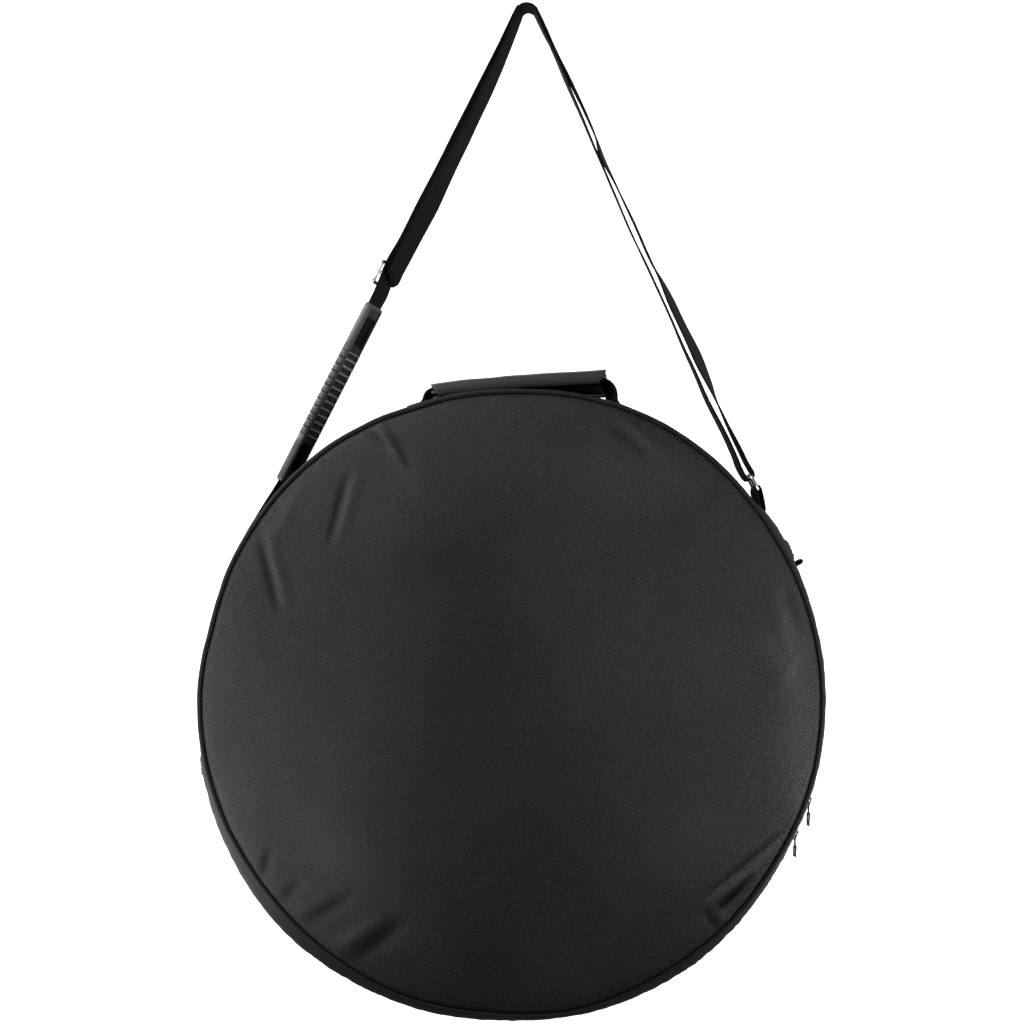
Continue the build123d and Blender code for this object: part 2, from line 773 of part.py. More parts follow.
# --------------------------------------------------------- values a buyer would check
print("axis the bag swings on: height", swing_height, "depth", mid_depth)
print("slider hinge points", hinge_point(slider_angle_upper), hinge_point(slider_angle_lower))
print("fold: point", tuple(fold_plane.origin), "normal", flap_normal)
print("left leg: direction", leg, "length", leg_length)
print("wrap hinge: point", (wrap_corner[0], wrap_front, wrap_corner[1]), "direction", tilt)
print("strap hangs from", (apex[0], -mid_depth, apex[1] + apex_radius - 2 * web))
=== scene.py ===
"""Looks of a round padded bag for a 50 cm tam-tam gong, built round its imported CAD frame.

Lengths are in metres, written as millimetres times MM. +Z is up and the front faces -Y.
Angles round the bag run from +X towards +Z, in degrees.
"""
import json
import math

import bpy
import numpy as np
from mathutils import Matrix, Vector, noise


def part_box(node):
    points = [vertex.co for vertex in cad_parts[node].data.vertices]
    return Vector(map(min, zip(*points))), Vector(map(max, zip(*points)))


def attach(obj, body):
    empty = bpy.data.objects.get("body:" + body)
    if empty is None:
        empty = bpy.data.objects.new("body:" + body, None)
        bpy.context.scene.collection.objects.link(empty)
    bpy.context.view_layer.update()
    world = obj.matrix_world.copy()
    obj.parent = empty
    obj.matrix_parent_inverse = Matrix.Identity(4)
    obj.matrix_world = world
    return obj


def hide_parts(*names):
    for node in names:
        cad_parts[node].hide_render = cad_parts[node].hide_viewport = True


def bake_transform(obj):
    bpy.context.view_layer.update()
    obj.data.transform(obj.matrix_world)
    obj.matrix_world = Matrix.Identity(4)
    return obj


MM = 0.001
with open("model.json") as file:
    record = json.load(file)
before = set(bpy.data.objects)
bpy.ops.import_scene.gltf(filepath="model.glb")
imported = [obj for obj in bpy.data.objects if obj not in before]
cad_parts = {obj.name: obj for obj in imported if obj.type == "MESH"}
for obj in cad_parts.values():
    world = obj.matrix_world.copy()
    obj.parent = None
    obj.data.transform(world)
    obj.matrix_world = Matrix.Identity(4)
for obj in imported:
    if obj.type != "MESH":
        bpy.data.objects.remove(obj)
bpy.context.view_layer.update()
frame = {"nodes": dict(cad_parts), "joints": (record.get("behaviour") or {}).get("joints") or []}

# ---- places and sizes read from the frame ----
PANEL_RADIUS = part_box("back_panel")[1].x
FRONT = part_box("front_panel_upper")[0].y
DEPTH = -FRONT
MIDDLE = FRONT / 2
WALL_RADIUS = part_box("gusset_upper")[1].z
WALL_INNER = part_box("gusset_padding_upper")[1].z - 4.5 * MM
JOINTS = {joint["name"]: joint for joint in frame["joints"]}
LEG_DIRECTION = Vector(JOINTS["grip_slide"]["axis"]).normalized()
TOWARDS_FRONT = Vector((0, -1, 0))

# ---- the zip and the fold ----
ZIP_RIGHT = 26.0
ZIP_LEFT = 194.5
WEB_WIDTH = 30 * MM
WEB = 1.6 * MM


def cos_deg(angle):
    return math.cos(math.radians(angle))


def sin_deg(angle):
    return math.sin(math.radians(angle))


# ---- camera and studio ----
CAMERA_DISTANCE = 2.6
VIEW_HEIGHT = 0.854           # height of the picture at the bag's front
AIM = (0.3 * MM, 158.5 * MM)  # x and z of the picture's centre


def make_camera():
    data = bpy.data.cameras.new("camera")
    data.sensor_width = 36
    data.lens = data.sensor_width * CAMERA_DISTANCE / VIEW_HEIGHT
    camera = bpy.data.objects.new("camera", data)
    camera.location = (AIM[0], FRONT - CAMERA_DISTANCE, AIM[1])
    camera.rotation_euler = (math.radians(90), 0, 0)
    bpy.context.scene.collection.objects.link(camera)
    bpy.context.scene.camera = camera


def add_area_light(name, place, aim, size, power):
    data = bpy.data.lights.new(name, "AREA")
    data.shape = "RECTANGLE"
    data.size, data.size_y = size
    data.energy = power
    lamp = bpy.data.objects.new(name, data)
    lamp.location = place
    lamp.rotation_euler = (Vector(aim) - Vector(place)).to_track_quat("-Z", "Y").to_euler()
    lamp.visible_camera = False
    bpy.context.scene.collection.objects.link(lamp)


# ---- mesh helpers ----
def make_piece(name, points, faces, uvs=None):
    """New mesh object. uvs holds one (u, v) in metres for each corner of each face."""
    mesh = bpy.data.meshes.new(name)
    mesh.from_pydata([tuple(float(c) for c in p) for p in points], [], faces)
    if uvs is not None:
        layer = mesh.uv_layers.new(name="cloth")
        layer.data.foreach_set("uv", np.asarray(uvs, dtype=np.float32).ravel())
    mesh.update()
    mesh.shade_smooth()
    piece = bpy.data.objects.new(name, mesh)
    bpy.context.scene.collection.objects.link(piece)
    return piece


def swept(name, sections, closed=False):
    """Closed solid through a row of closed sections, an array of (station, point, xyz)."""
    sections = np.asarray(sections, dtype=float)
    stations, around = sections.shape[:2]
    following = np.roll(sections, -1, axis=0) if closed else sections[1:]
    along = np.linalg.norm((following - sections[:len(following)]).mean(axis=1), axis=1)
    u = np.concatenate(([0.0], np.cumsum(along)))
    side = np.linalg.norm(np.roll(sections[0], -1, axis=0) - sections[0], axis=1)
    v = np.concatenate(([0.0], np.cumsum(side)))
    faces, uvs = [], []
    for i in range(stations if closed else stations - 1):
        next_i = (i + 1) % stations
        for j in range(around):
            next_j = (j + 1) % around
            faces.append((i * around + j, i * around + next_j,
                          next_i * around + next_j, next_i * around + j))
            uvs += [(u[i], v[j]), (u[i], v[j + 1]), (u[i + 1], v[j + 1]), (u[i + 1], v[j])]
    if not closed:
        for i, order in ((0, -1), (stations - 1, 1)):
            ring = [i * around + j for j in range(around)][::order]
            faces.append(tuple(ring))
            uvs += [(u[i], v[j]) for j in range(around)][::order]
    return make_piece(name, sections.reshape(-1, 3), faces, uvs)


def round_bag(angle, radius, y):
    """Point by its angle round the bag in degrees, its radius and its y."""
    turn = math.radians(angle)
    return (radius * math.cos(turn), y, radius * math.sin(turn))


def bumps(angle, shape):
    """Sum of smooth bumps (centre, half width, height) at an angle, all in degrees and mm."""
    total = 0.0
    for centre, width, height in shape:
        away = (angle - centre + 180) % 360 - 180
        total += height * math.exp(-(away / width) ** 2)
    return total * MM


def ripple(x, y, z, scale, seed=0.0):
    """Smooth noise from -1 to 1 with features about scale metres long."""
    return noise.noise(Vector((x / scale + seed, y / scale - seed, z / scale + 0.37 * seed)))


def smooth_path(points, spacing):
    """Catmull-Rom path through rows of numbers, the first three of them x, y and z."""
    points = np.asarray(points, dtype=float)
    padded = np.vstack([2 * points[0] - points[1], points, 2 * points[-1] - points[-2]])
    rows = []
    for k in range(len(points) - 1):
        a, b, c, d = padded[k:k + 4]
        steps = max(2, int(math.ceil(np.linalg.norm(c[:3] - b[:3]) / spacing)))
        for t in np.arange(steps) / steps:
            rows.append(0.5 * (2 * b + (c - a) * t + (2 * a - 5 * b + 4 * c - d) * t ** 2
                               + (3 * b - a - 3 * c + d) * t ** 3))
    rows.append(points[-1])
    return np.array(rows)


def strip_profile(width, thickness):
    """Closed outline of a flat band with rounded edges, as (across, out) pairs."""
    half, lip = width / 2, thickness / 2
    faces = np.linspace(-half + lip, half - lip, 9)
    turn = np.linspace(-90, 90, 6)[1:-1]
    outline = [(x, -lip) for x in faces]
    outline += [(half - lip + lip * cos_deg(a), lip * sin_deg(a))
                for a in turn]
    outline += [(x, lip) for x in faces[::-1]]
    outline += [(-half + lip - lip * cos_deg(a), -lip * sin_deg(a))
                for a in turn]
    return outline


def web_strip(name, stations, width=WEB_WIDTH, thickness=WEB, spacing=2.5 * MM, wave=0.0):
    """Band of webbing through stations of (x, y, z, turn): a positive turn, in degrees,
    swings its front edge outwards, away from the inside of the strap's loop."""
    rows = smooth_path(stations, spacing)
    centres, turns = rows[:, :3], np.radians(rows[:, 3])
    tangents = np.gradient(centres, axis=0)
    tangents /= np.linalg.norm(tangents, axis=1)[:, None]
    front = np.array(TOWARDS_FRONT)
    profile = strip_profile(width, thickness)
    sections = []
    for centre, tangent, turn in zip(centres, tangents, turns):
        level = front - tangent * tangent.dot(front)
        level /= np.linalg.norm(level)
        outward = np.cross(level, tangent)
        across = level * math.cos(turn) + outward * math.sin(turn)
        normal = np.cross(across, tangent)
        lift = wave * ripple(*centre, 35 * MM)
        sections.append([centre + across * a + normal * (b + lift * (a / width * 2) ** 2)
                         for a, b in profile])
    return swept(name, sections)


def tube(name, path, radius, around, closed=False):
    """Round tube along a path; radius is a number or one value for each point."""
    path = np.asarray(path, dtype=float)
    radii = np.broadcast_to(radius, len(path))
    if closed:
        tangents = np.roll(path, -1, axis=0) - np.roll(path, 1, axis=0)
    else:
        tangents = np.gradient(path, axis=0)
    tangents /= np.linalg.norm(tangents, axis=1)[:, None]
    side = np.cross(tangents, np.array(TOWARDS_FRONT))
    weak = np.linalg.norm(side, axis=1) < 0.1
    side[weak] = np.cross(tangents[weak], (1.0, 0.0, 0.0))
    side /= np.linalg.norm(side, axis=1)[:, None]
    other = np.cross(tangents, side)
    turn = np.linspace(0, 2 * math.pi, around, endpoint=False)
    ring = np.cos(turn)[None, :, None] * side[:, None, :]
    ring = ring + np.sin(turn)[None, :, None] * other[:, None, :]
    return swept(name, path[:, None, :] + ring * radii[:, None, None], closed)


STITCH_LENGTH, STITCH_GAP, THREAD_SIZE = 2.6 * MM, 1.1 * MM, 0.55 * MM


def stitches(name, path, normals):
    """Row of sewn stitches along a path: short thread bulges, sunk at their ends."""
    path, normals = np.asarray(path, dtype=float), np.asarray(normals, dtype=float)
    steps = np.linalg.norm(np.diff(path, axis=0), axis=1)
    reach = np.concatenate(([0.0], np.cumsum(steps)))
    points, faces = [], []
    around = 6
    profile = ((0.0, 0.25, -0.35), (0.18, 0.85, 0.15), (0.5, 1.0, 0.35), (0.82, 0.85, 0.15),
               (1.0, 0.25, -0.35))
    for start in np.arange(0, reach[-1] - STITCH_LENGTH, STITCH_LENGTH + STITCH_GAP):
        first, last, up = [
            np.array([np.interp(station, reach, rows[:, k]) for k in range(3)])
            for station, rows in ((start, path), (start + STITCH_LENGTH, path), (start, normals))]
        up /= np.linalg.norm(up)
        side = np.cross(last - first, up)
        side /= np.linalg.norm(side)
        base = len(points)
        for share, size, lift in profile:
            centre = first + (last - first) * share + up * lift * THREAD_SIZE
            for k in range(around):
                turn = 2 * math.pi * k / around
                points.append(centre + (side * math.cos(turn) + up * math.sin(turn))
                              * size * THREAD_SIZE / 2)
        for ring in range(len(profile) - 1):
            for k in range(around):
                a, b = base + ring * around + k, base + ring * around + (k + 1) % around
                faces.append((a, a + around, b + around, b))
        faces.append(tuple(base + k for k in range(around)))
        faces.append(tuple(base + (len(profile) - 1) * around + k
                           for k in range(around))[::-1])
    return make_piece(name, points, faces)


# ---- material helpers ----
class Shader:
    """A Principled material and the few node calls that the finishes below need."""

    def __init__(self, name, colour, roughness, metallic=0.0, specular=0.5):
        self.material = bpy.data.materials.new(name)
        self.material.use_nodes = True
        self.tree = self.material.node_tree
        self.bsdf = self.tree.nodes["Principled BSDF"]
        self.bsdf.inputs["Base Color"].default_value = (*colour, 1)
        self.bsdf.inputs["Roughness"].default_value = roughness
        self.bsdf.inputs["Metallic"].default_value = metallic
        self.bsdf.inputs["Specular IOR Level"].default_value = specular
        self.material.diffuse_color = (*colour, 1)

    def node(self, kind, **settings):
        made = self.tree.nodes.new("ShaderNode" + kind)
        for key, value in settings.items():
            setattr(made, key, value)
        return made

    def link(self, source, node, name):
        self.tree.links.new(source, node.inputs[name])

    def maths(self, operation, first, second=0.0, third=0.0):
        made = self.node("Math", operation=operation)
        for socket, value in zip(made.inputs, (first, second, third)):
            if isinstance(value, bpy.types.NodeSocket):
                self.tree.links.new(value, socket)
            else:
                socket.default_value = value
        return made.outputs[0]

    def cloth_uv(self):
        """u and v along the cloth, in metres."""
        split = self.node("SeparateXYZ")
        self.link(self.node("UVMap", uv_map="cloth").outputs[0], split, "Vector")
        return split.outputs[0], split.outputs[1]

    def place(self):
        return self.node("TexCoord").outputs["Object"]

    def noise(self, scale, detail=2.0, vector=None):
        made = self.node("TexNoise")
        made.inputs["Scale"].default_value = scale
        made.inputs["Detail"].default_value = detail
        self.link(vector if vector is not None else self.place(), made, "Vector")
        return made.outputs["Fac"]

    def wave(self, distance, period):
        """0 to 1 to 0 again over each period of a distance."""
        turn = self.maths("MULTIPLY", distance, 2 * math.pi / period)
        return self.maths("MULTIPLY_ADD", self.maths("SINE", turn), 0.5, 0.5)

    def ramp(self, value, low, high, bottom=0.0, top=1.0):
        made = self.node("MapRange", clamp=True)
        made.inputs["From Min"].default_value = low
        made.inputs["From Max"].default_value = high
        made.inputs["To Min"].default_value = bottom
        made.inputs["To Max"].default_value = top
        self.link(value, made, "Value")
        return made.outputs["Result"]

    def colour(self, factor, dark, light):
        made = self.node("Mix", data_type="RGBA")
        first, second = [socket for socket in made.inputs if socket.type == "RGBA"]
        first.default_value = (*dark, 1)
        second.default_value = (*light, 1)
        self.tree.links.new(factor, made.inputs[0])
        mixed = next(socket for socket in made.outputs if socket.type == "RGBA")
        self.tree.links.new(mixed, self.bsdf.inputs["Base Color"])

    def bump(self, height, distance, strength=1.0):
        made = self.node("Bump")
        made.inputs["Distance"].default_value = distance
        made.inputs["Strength"].default_value = strength
        self.link(height, made, "Height")
        if self.bsdf.inputs["Normal"].is_linked:
            self.link(self.bsdf.inputs["Normal"].links[0].from_socket, made, "Normal")
        self.tree.links.new(made.outputs["Normal"], self.bsdf.inputs["Normal"])


def woven_cloth(name, dark, light, pitch, painted_shade_and_tone=False):
    """Twill: fine diagonal ribs broken into thread lengths, with uneven yarn tones."""
    s = Shader(name, light, 0.62, specular=0.22)
    u, v = s.cloth_uv()
    rib = s.wave(s.maths("SUBTRACT", u, v), pitch)
    thread = s.wave(s.maths("ADD", u, v), pitch * 1.37)
    yarn = s.noise(1 / (1.6 * MM), 1.0)
    cloud = s.noise(1 / (60 * MM), 3.0)
    height = s.maths("MULTIPLY", rib, s.maths("MULTIPLY_ADD", thread, 0.3, 0.7))
    tone = s.maths("MULTIPLY", s.maths("POWER", height, 3.0), s.ramp(yarn, 0.3, 0.75, 0.75, 1.2))
    tone = s.maths("MULTIPLY", tone, s.ramp(cloud, 0.3, 0.7, 0.9, 1.1))
    # the cover's tone is multiplied by the painted light and shade stored on its mesh
    if painted_shade_and_tone:
        tone = s.maths("MULTIPLY", tone, s.node("Attribute", attribute_name="painted_shade_and_tone").outputs["Fac"])
    s.colour(tone, dark, light)
    s.bump(height, 0.25 * MM, 0.9)
    s.bump(s.noise(1 / (9 * MM), 3.0), 0.5 * MM, 0.25)
    return s.material


def ribbed_webbing(name, dark, light):
    """Webbing with slanting ribs that meet in a line of chevrons down each half."""
    s = Shader(name, light, 0.7, specular=0.1)
    u, v = s.cloth_uv()
    fold = s.maths("PINGPONG", v, 5 * MM)
    rib = s.wave(s.maths("SUBTRACT", u, s.maths("MULTIPLY", fold, 0.55)), 2.3 * MM)
    warp = s.wave(v, 1.25 * MM)
    yarn = s.noise(1 / (1.2 * MM), 1.0)
    height = s.maths("MULTIPLY", s.maths("POWER", rib, 0.7),
                     s.maths("MULTIPLY_ADD", warp, 0.3, 0.7))
    s.colour(s.maths("MULTIPLY", height, s.ramp(yarn, 0.3, 0.7, 0.5, 1.2)), dark, light)
    s.bump(height, 0.35 * MM, 0.9)
    return s.material


def fine_tape(name, dark, light):
    s = Shader(name, light, 0.7, specular=0.3)
    u, v = s.cloth_uv()
    fold = s.maths("PINGPONG", v, 1.5 * MM)
    rib = s.wave(s.maths("ADD", u, fold), 0.9 * MM)
    s.colour(rib, dark, light)
    s.bump(rib, 0.12 * MM)
    return s.material


def plain_cloth(name, dark, light, roughness, grain, bump_height):
    s = Shader(name, light, roughness, specular=0.35)
    fine = s.noise(1 / grain, 2.0)
    cloud = s.noise(1 / (25 * MM), 3.0)
    s.colour(s.maths("MULTIPLY", s.ramp(fine, 0.3, 0.7), s.ramp(cloud, 0.25, 0.75, 0.7, 1.1)),
             dark, light)
    s.bump(fine, bump_height, 0.6)
    return s.material


def pile(name, dark, light):
    """Hook-and-loop face: rows of small tufts."""
    s = Shader(name, light, 0.9, specular=0.15)
    cells = s.node("TexVoronoi")
    cells.inputs["Scale"].default_value = 1 / (1.1 * MM)
    s.link(s.place(), cells, "Vector")
    tuft = s.ramp(cells.outputs["Distance"], 0.1, 0.7, 1.0, 0.0)
    s.colour(tuft, dark, light)
    s.bump(tuft, 0.6 * MM)
    return s.material


def moulded_plastic(name, colour, roughness):
    s = Shader(name, colour, roughness, specular=0.5)
    grain = s.noise(1 / (0.35 * MM), 2.0)
    scuffs = s.noise(1 / (9 * MM), 4.0)
    s.link(s.ramp(scuffs, 0.35, 0.7, roughness - 0.06, roughness + 0.14), s.bsdf, "Roughness")
    s.colour(s.ramp(scuffs, 0.3, 0.7), tuple(0.8 * c for c in colour),
             tuple(1.15 * c for c in colour))
    s.bump(grain, 0.04 * MM, 0.5)
    return s.material


def plated_metal(name, colour, roughness):
    """Polished plate with faint wipe marks and a little dulling."""
    s = Shader(name, colour, roughness, metallic=1.0)
    marks = s.noise(1 / (2.5 * MM), 4.0)
    s.link(s.ramp(marks, 0.35, 0.75, roughness * 0.6, roughness * 1.9), s.bsdf, "Roughness")
    s.bump(s.noise(1 / (1.4 * MM), 2.0), 0.03 * MM, 0.4)
    return s.material


def lacquered_metal(name, colour):
    s = Shader(name, colour, 0.5, specular=0.25)
    wear = s.noise(1 / (0.9 * MM), 3.0)
    s.link(s.ramp(wear, 0.35, 0.7, 0.4, 0.6), s.bsdf, "Roughness")
    s.colour(s.ramp(wear, 0.55, 0.8), colour, tuple(2.2 * c for c in colour))
    return s.material


def hammered_bronze(name):
    """Beaten bronze: overlapping hammer marks, faint lathe rings and a dark skin at the rim."""
    s = Shader(name, (0.42, 0.27, 0.12), 0.34, metallic=1.0)
    place = s.place()
    cells = s.node("TexVoronoi", feature="SMOOTH_F1")
    cells.inputs["Scale"].default_value = 1 / (15 * MM)
    s.link(place, cells, "Vector")
    split = s.node("SeparateXYZ")
    s.link(place, split, "Vector")
    squared = s.maths("ADD", s.maths("POWER", split.outputs[0], 2.0),
                      s.maths("POWER", split.outputs[2], 2.0))
    radius = s.maths("SQRT", squared)
    rings = s.wave(radius, 1.1 * MM)
    skin = s.maths("MULTIPLY", s.ramp(radius, 0.19, 0.235),
                   s.ramp(s.noise(1 / (30 * MM), 4.0), 0.3, 0.7, 0.6, 1.1))
    centre = s.ramp(radius, 0.055, 0.07, 0.8, 0.0)
    s.colour(s.maths("MAXIMUM", skin, centre), (0.50, 0.33, 0.14), (0.07, 0.05, 0.035))
    s.link(s.ramp(rings, 0, 1, 0.28, 0.42), s.bsdf, "Roughness")
    s.bump(cells.outputs["Distance"], 1.4 * MM, 0.5)
    s.bump(rings, 0.05 * MM, 0.4)
    return s.material


def finish_with(piece, material):
    """Gives a piece its material."""
    piece.data.materials.clear()
    piece.data.materials.append(material)
    return piece


# the cover cloth carries painted light and shade read from its mesh
COVER = woven_cloth("cover_cloth", (0.001, 0.001, 0.001), (0.19, 0.19, 0.186), 2.2 * MM, painted_shade_and_tone=True)
WALL_CLOTH = woven_cloth("wall_cloth", (0.012, 0.012, 0.012), (0.05, 0.05, 0.049), 1.3 * MM)
PIPING_CLOTH = woven_cloth("piping_cloth", (0.01, 0.01, 0.01), (0.055, 0.055, 0.054), 1.1 * MM)
WEBBING = ribbed_webbing("webbing", (0.001, 0.001, 0.001), (0.02, 0.02, 0.0195))
TAPE = fine_tape("zip_tape", (0.008, 0.008, 0.008), (0.03, 0.03, 0.03))
TRIM = fine_tape("trim_cloth", (0.02, 0.02, 0.02), (0.075, 0.075, 0.073))
LINING = plain_cloth("lining_cloth", (0.03, 0.03, 0.034), (0.06, 0.06, 0.066), 0.5, 0.8 * MM,
                     0.08 * MM)
WRAP = plain_cloth("wrap_cloth", (0.034, 0.033, 0.031), (0.066, 0.064, 0.061), 0.55, 0.5 * MM,
                   0.06 * MM)
FOAM = plain_cloth("padding_foam", (0.2, 0.2, 0.21), (0.4, 0.4, 0.41), 0.9, 0.9 * MM, 0.3 * MM)
PILE = pile("hook_and_loop", (0.003, 0.003, 0.003), (0.02, 0.02, 0.02))
COIL = moulded_plastic("zip_coil", (0.018, 0.018, 0.019), 0.3)
GRIP_PLASTIC = moulded_plastic("grip_plastic", (0.1, 0.1, 0.102), 0.33)
# near-black painted shade for the grip's slots and the gaps between its rings
GRIP_PAINTED_SHADE = moulded_plastic("grip_painted_shade", (0.006, 0.006, 0.006), 0.6)
RIBBON = fine_tape("pull_ribbon", (0.001, 0.001, 0.001), (0.008, 0.008, 0.008))
ANCHOR = plain_cloth("anchor_webbing", (0.003, 0.003, 0.003), (0.02, 0.02, 0.02), 0.6, 1.2 * MM,
                     0.2 * MM)
# near-white painted highlight for the edges of the grip's rings
GRIP_PAINTED_HIGHLIGHT = moulded_plastic("grip_painted_highlight", (0.92, 0.92, 0.92), 0.3)
CHROME = plated_metal("chrome_wire", (0.6, 0.6, 0.61), 0.17)
LACQUER = lacquered_metal("slider_metal", (0.005, 0.005, 0.0055))
THREAD = plain_cloth("thread", (0.02, 0.02, 0.02), (0.085, 0.085, 0.083), 0.5, 0.4 * MM, 0.05 * MM)
BRONZE = hammered_bronze("gong_bronze")


# ---- shape of the rim ----
RIM_SHAPE = ((60, 18, 3.0), (92, 10, -1.5), (108, 7, -1.6), (130, 12, 1.0), (165, 9, -2.5),
             (216, 14, -1.5),
             (250, 12, 2.2), (282, 12, 3.8), (327, 12, -2.0))
WALL_BULGE = ((225, 26, 8.0), (300, 22, 5.0), (262, 16, 3.0), (138, 7, 2.5), (108, 12, -2.0),
              (60, 20, -1.5))
WALL_SPREAD = ((34.5, 7.5, 5.2),)
WALL_WRINKLES = ((318, 24, 1.5), (345, 12, 0.6))
SEAM_DEPTH = 3.6 * MM         # from a face to where the side wall starts
COVER_THICKNESS = 7 * MM      # cover and padding of a round panel
LINING_RADIUS = 254 * MM
TAPE_RADIUS, COIL_RADIUS = 260.0 * MM, 261.25 * MM
ZIP_EDGE = 6 * MM             # from the zip's middle to the cover's edge


def seam_radius(angle):
    wobble = 0.35 * MM * ripple(cos_deg(angle), 0, sin_deg(angle),
                                0.09)
    return PANEL_RADIUS - 0.7 * MM + bumps(angle, RIM_SHAPE) + wobble


def back_seam_radius(angle):
    return PANEL_RADIUS - 0.5 * MM + 0.6 * bumps(angle, RIM_SHAPE)


def smooth_step(low, high, value):
    t = min(1.0, max(0.0, (value - low) / (high - low)))
    return t * t * (3 - 2 * t)


def in_zip_zone(angle):
    """1 along the zip, falling to 0 within 14 degrees beyond its two ends."""
    past_right = (angle - ZIP_RIGHT) % 360
    past_left = (ZIP_LEFT - angle) % 360
    without_zip = ZIP_LEFT - ZIP_RIGHT
    if past_right > without_zip or past_left > without_zip:
        return 1.0
    return 1 - smooth_step(0, 14, min(past_right, past_left))


def wall_radius(angle, y):
    """Outside of the side wall: two crowned strips along the zip, one arch elsewhere."""
    x, z = cos_deg(angle), sin_deg(angle)
    from_front = (y - FRONT - SEAM_DEPTH) / (DEPTH - 2 * SEAM_DEPTH)
    from_front = min(1.0, max(0.0, from_front))
    edge = (seam_radius(angle) + 1.2 * MM) * (1 - from_front)
    edge += (back_seam_radius(angle) + 1.2 * MM) * from_front
    middle_pull = 1 - abs(2 * from_front - 1)
    base = edge + (WALL_RADIUS + 0.4 * MM - edge) * middle_pull
    bulge = 4 * MM + bumps(angle, WALL_BULGE)
    away = abs(y - MIDDLE)
    t = (away - ZIP_EDGE) / (DEPTH / 2 - SEAM_DEPTH - ZIP_EDGE)
    strip = bulge * max(0.0, math.sin(math.pi * min(1.0, max(0.0, t)) ** 0.9)) ** 0.8
    if y > MIDDLE:
        strip *= 0.75
    base += bumps(angle, WALL_SPREAD) * max(0.0, math.sin(math.pi * from_front)) ** 0.5
    from_edge = 0.5 - abs(from_front - 0.5)
    arch = 1.5 * MM * (math.sin(math.pi * from_front) - smooth_step(0.2, 0.5, from_edge))
    zip_share = in_zip_zone(angle)
    pucker = 0.55 * ripple(x, y * 2.2, z, 0.034) + 0.3 * ripple(x, y * 3.0, z, 0.014, 3.1)
    pucker += bumps(angle, WALL_WRINKLES) / MM * 0.5 * ripple(x, y * 2, z, 0.011, 6.2)
    pucker *= MM * (0.35 + 0.65 * zip_share) * (1 - abs(2 * from_front - 1) ** 6)
    return base + zip_share * strip + (1 - zip_share) * arch + pucker


def wall_section(angle, y_from, y_to, steps, lip=0.0):
    """Closed section of the side wall between two depths, as points round its outline."""
    outer = [round_bag(angle, wall_radius(angle, y) - (lip if k in (0, steps - 1) else 0.0), y)
             for k, y in enumerate(np.linspace(y_from, y_to, steps))]
    inside = [round_bag(angle, WALL_INNER, y) for y in np.linspace(y_to, y_from, 4)]
    return outer + inside


def bend_with_flap(piece):
    """Bakes the piece's place into its mesh."""
    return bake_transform(piece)


def follow(piece, body):
    """Rides the bag, or else has its place baked into its mesh."""
    if body == "bag":
        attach(piece, "bag")
    else:
        bend_with_flap(piece)


ZIP_ANGLES = np.linspace(ZIP_LEFT, 360 + ZIP_RIGHT, 560)
UPPER_ANGLES = np.linspace(ZIP_RIGHT, ZIP_LEFT, 430)


def make_side_wall():
    upper = swept("side_wall_upper", [wall_section(a, FRONT + SEAM_DEPTH, -SEAM_DEPTH, 30)
                                      for a in UPPER_ANGLES])
    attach(upper, "bag")
    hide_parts("gusset_upper", "gusset_padding_upper")
    back = swept("side_wall_back_strip",
                 [wall_section(a, MIDDLE + ZIP_EDGE, -SEAM_DEPTH, 14, lip=0.9 * MM)
                                          for a in ZIP_ANGLES])
    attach(back, "bag")
    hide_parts("gusset_back_strip", "gusset_padding_back")
    front = swept("side_wall_front_strip",
                  [wall_section(a, FRONT + SEAM_DEPTH, MIDDLE - ZIP_EDGE, 16, lip=0.9 * MM)
                   for a in ZIP_ANGLES])
    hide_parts("gusset_front_strip", "gusset_padding_front")
    for piece in (upper, back, front):
        finish_with(piece, WALL_CLOTH)
    bend_with_flap(front)
    for name, y in (("zip_stitching_back", MIDDLE + ZIP_EDGE + 2.2 * MM),
                    ("zip_stitching_front", MIDDLE - ZIP_EDGE - 2.2 * MM)):
        path = [round_bag(a, wall_radius(a, y) + 0.05 * MM, y) for a in ZIP_ANGLES]
        normals = [round_bag(a, 1, 0) for a in ZIP_ANGLES]
        row = finish_with(stitches(name, path, normals), THREAD)
        follow(row, "bag" if y > MIDDLE else "flap")


# ---- padded round panels ----
# ridges and valleys in the front: x and z of both ends, half width and height, in mm
FRONT_CREASES = ((-212, 146, -194, 78, 3.5, -1.5), (-206, 150, -187, 84, 4.5, 1.2),
                 (-178, 180, -196, 140, 5, 0.9), (-137, 186, -151, 133, 3.5, -1.3),
                 (-129, 188, -143, 140, 5, 1.1), (-113, 232, -91, 200, 3.5, 1.5),
                 (-104, 232, -84, 196, 4, -1.1), (-120, 226, -100, 214, 3, -1.2),
                 (-91, 200, -70, 172, 9, 0.7), (-201, -126, -209, -146, 4.5, -1.6),
                 (-178, -153, -193, -166, 5, -1.5), (-134, -162, -174, -186, 5.5, -1.4),
                 (-94, -187, -134, -216, 7, -2.1), (-112, -184, -150, -208, 7, 1.3),
                 (229, -104, 164, -162, 3.2, -1.8), (226, -112, 168, -164, 3.8, 1.7),
                 (199, -146, 166, -176, 3.4, -2.6), (190, -144, 164, -167, 4, 1.5),
                 (161, -176, 176, -193, 3.5, -1.7), (168, -172, 184, -186, 4, 1.4),
                 (228, 100, 238, 66, 5, -1.4), (220, 90, 231, 40, 6, 1.4),
                 (238, 40, 226, 20, 5, 0.9),
                 (92, 236, 124, 210, 4, 1.4), (84, 230, 112, 206, 4, -1.1),
                 (120, 218, 150, 176, 12, 0.9),
                 (206, 60, 236, 8, 10, 1.1))
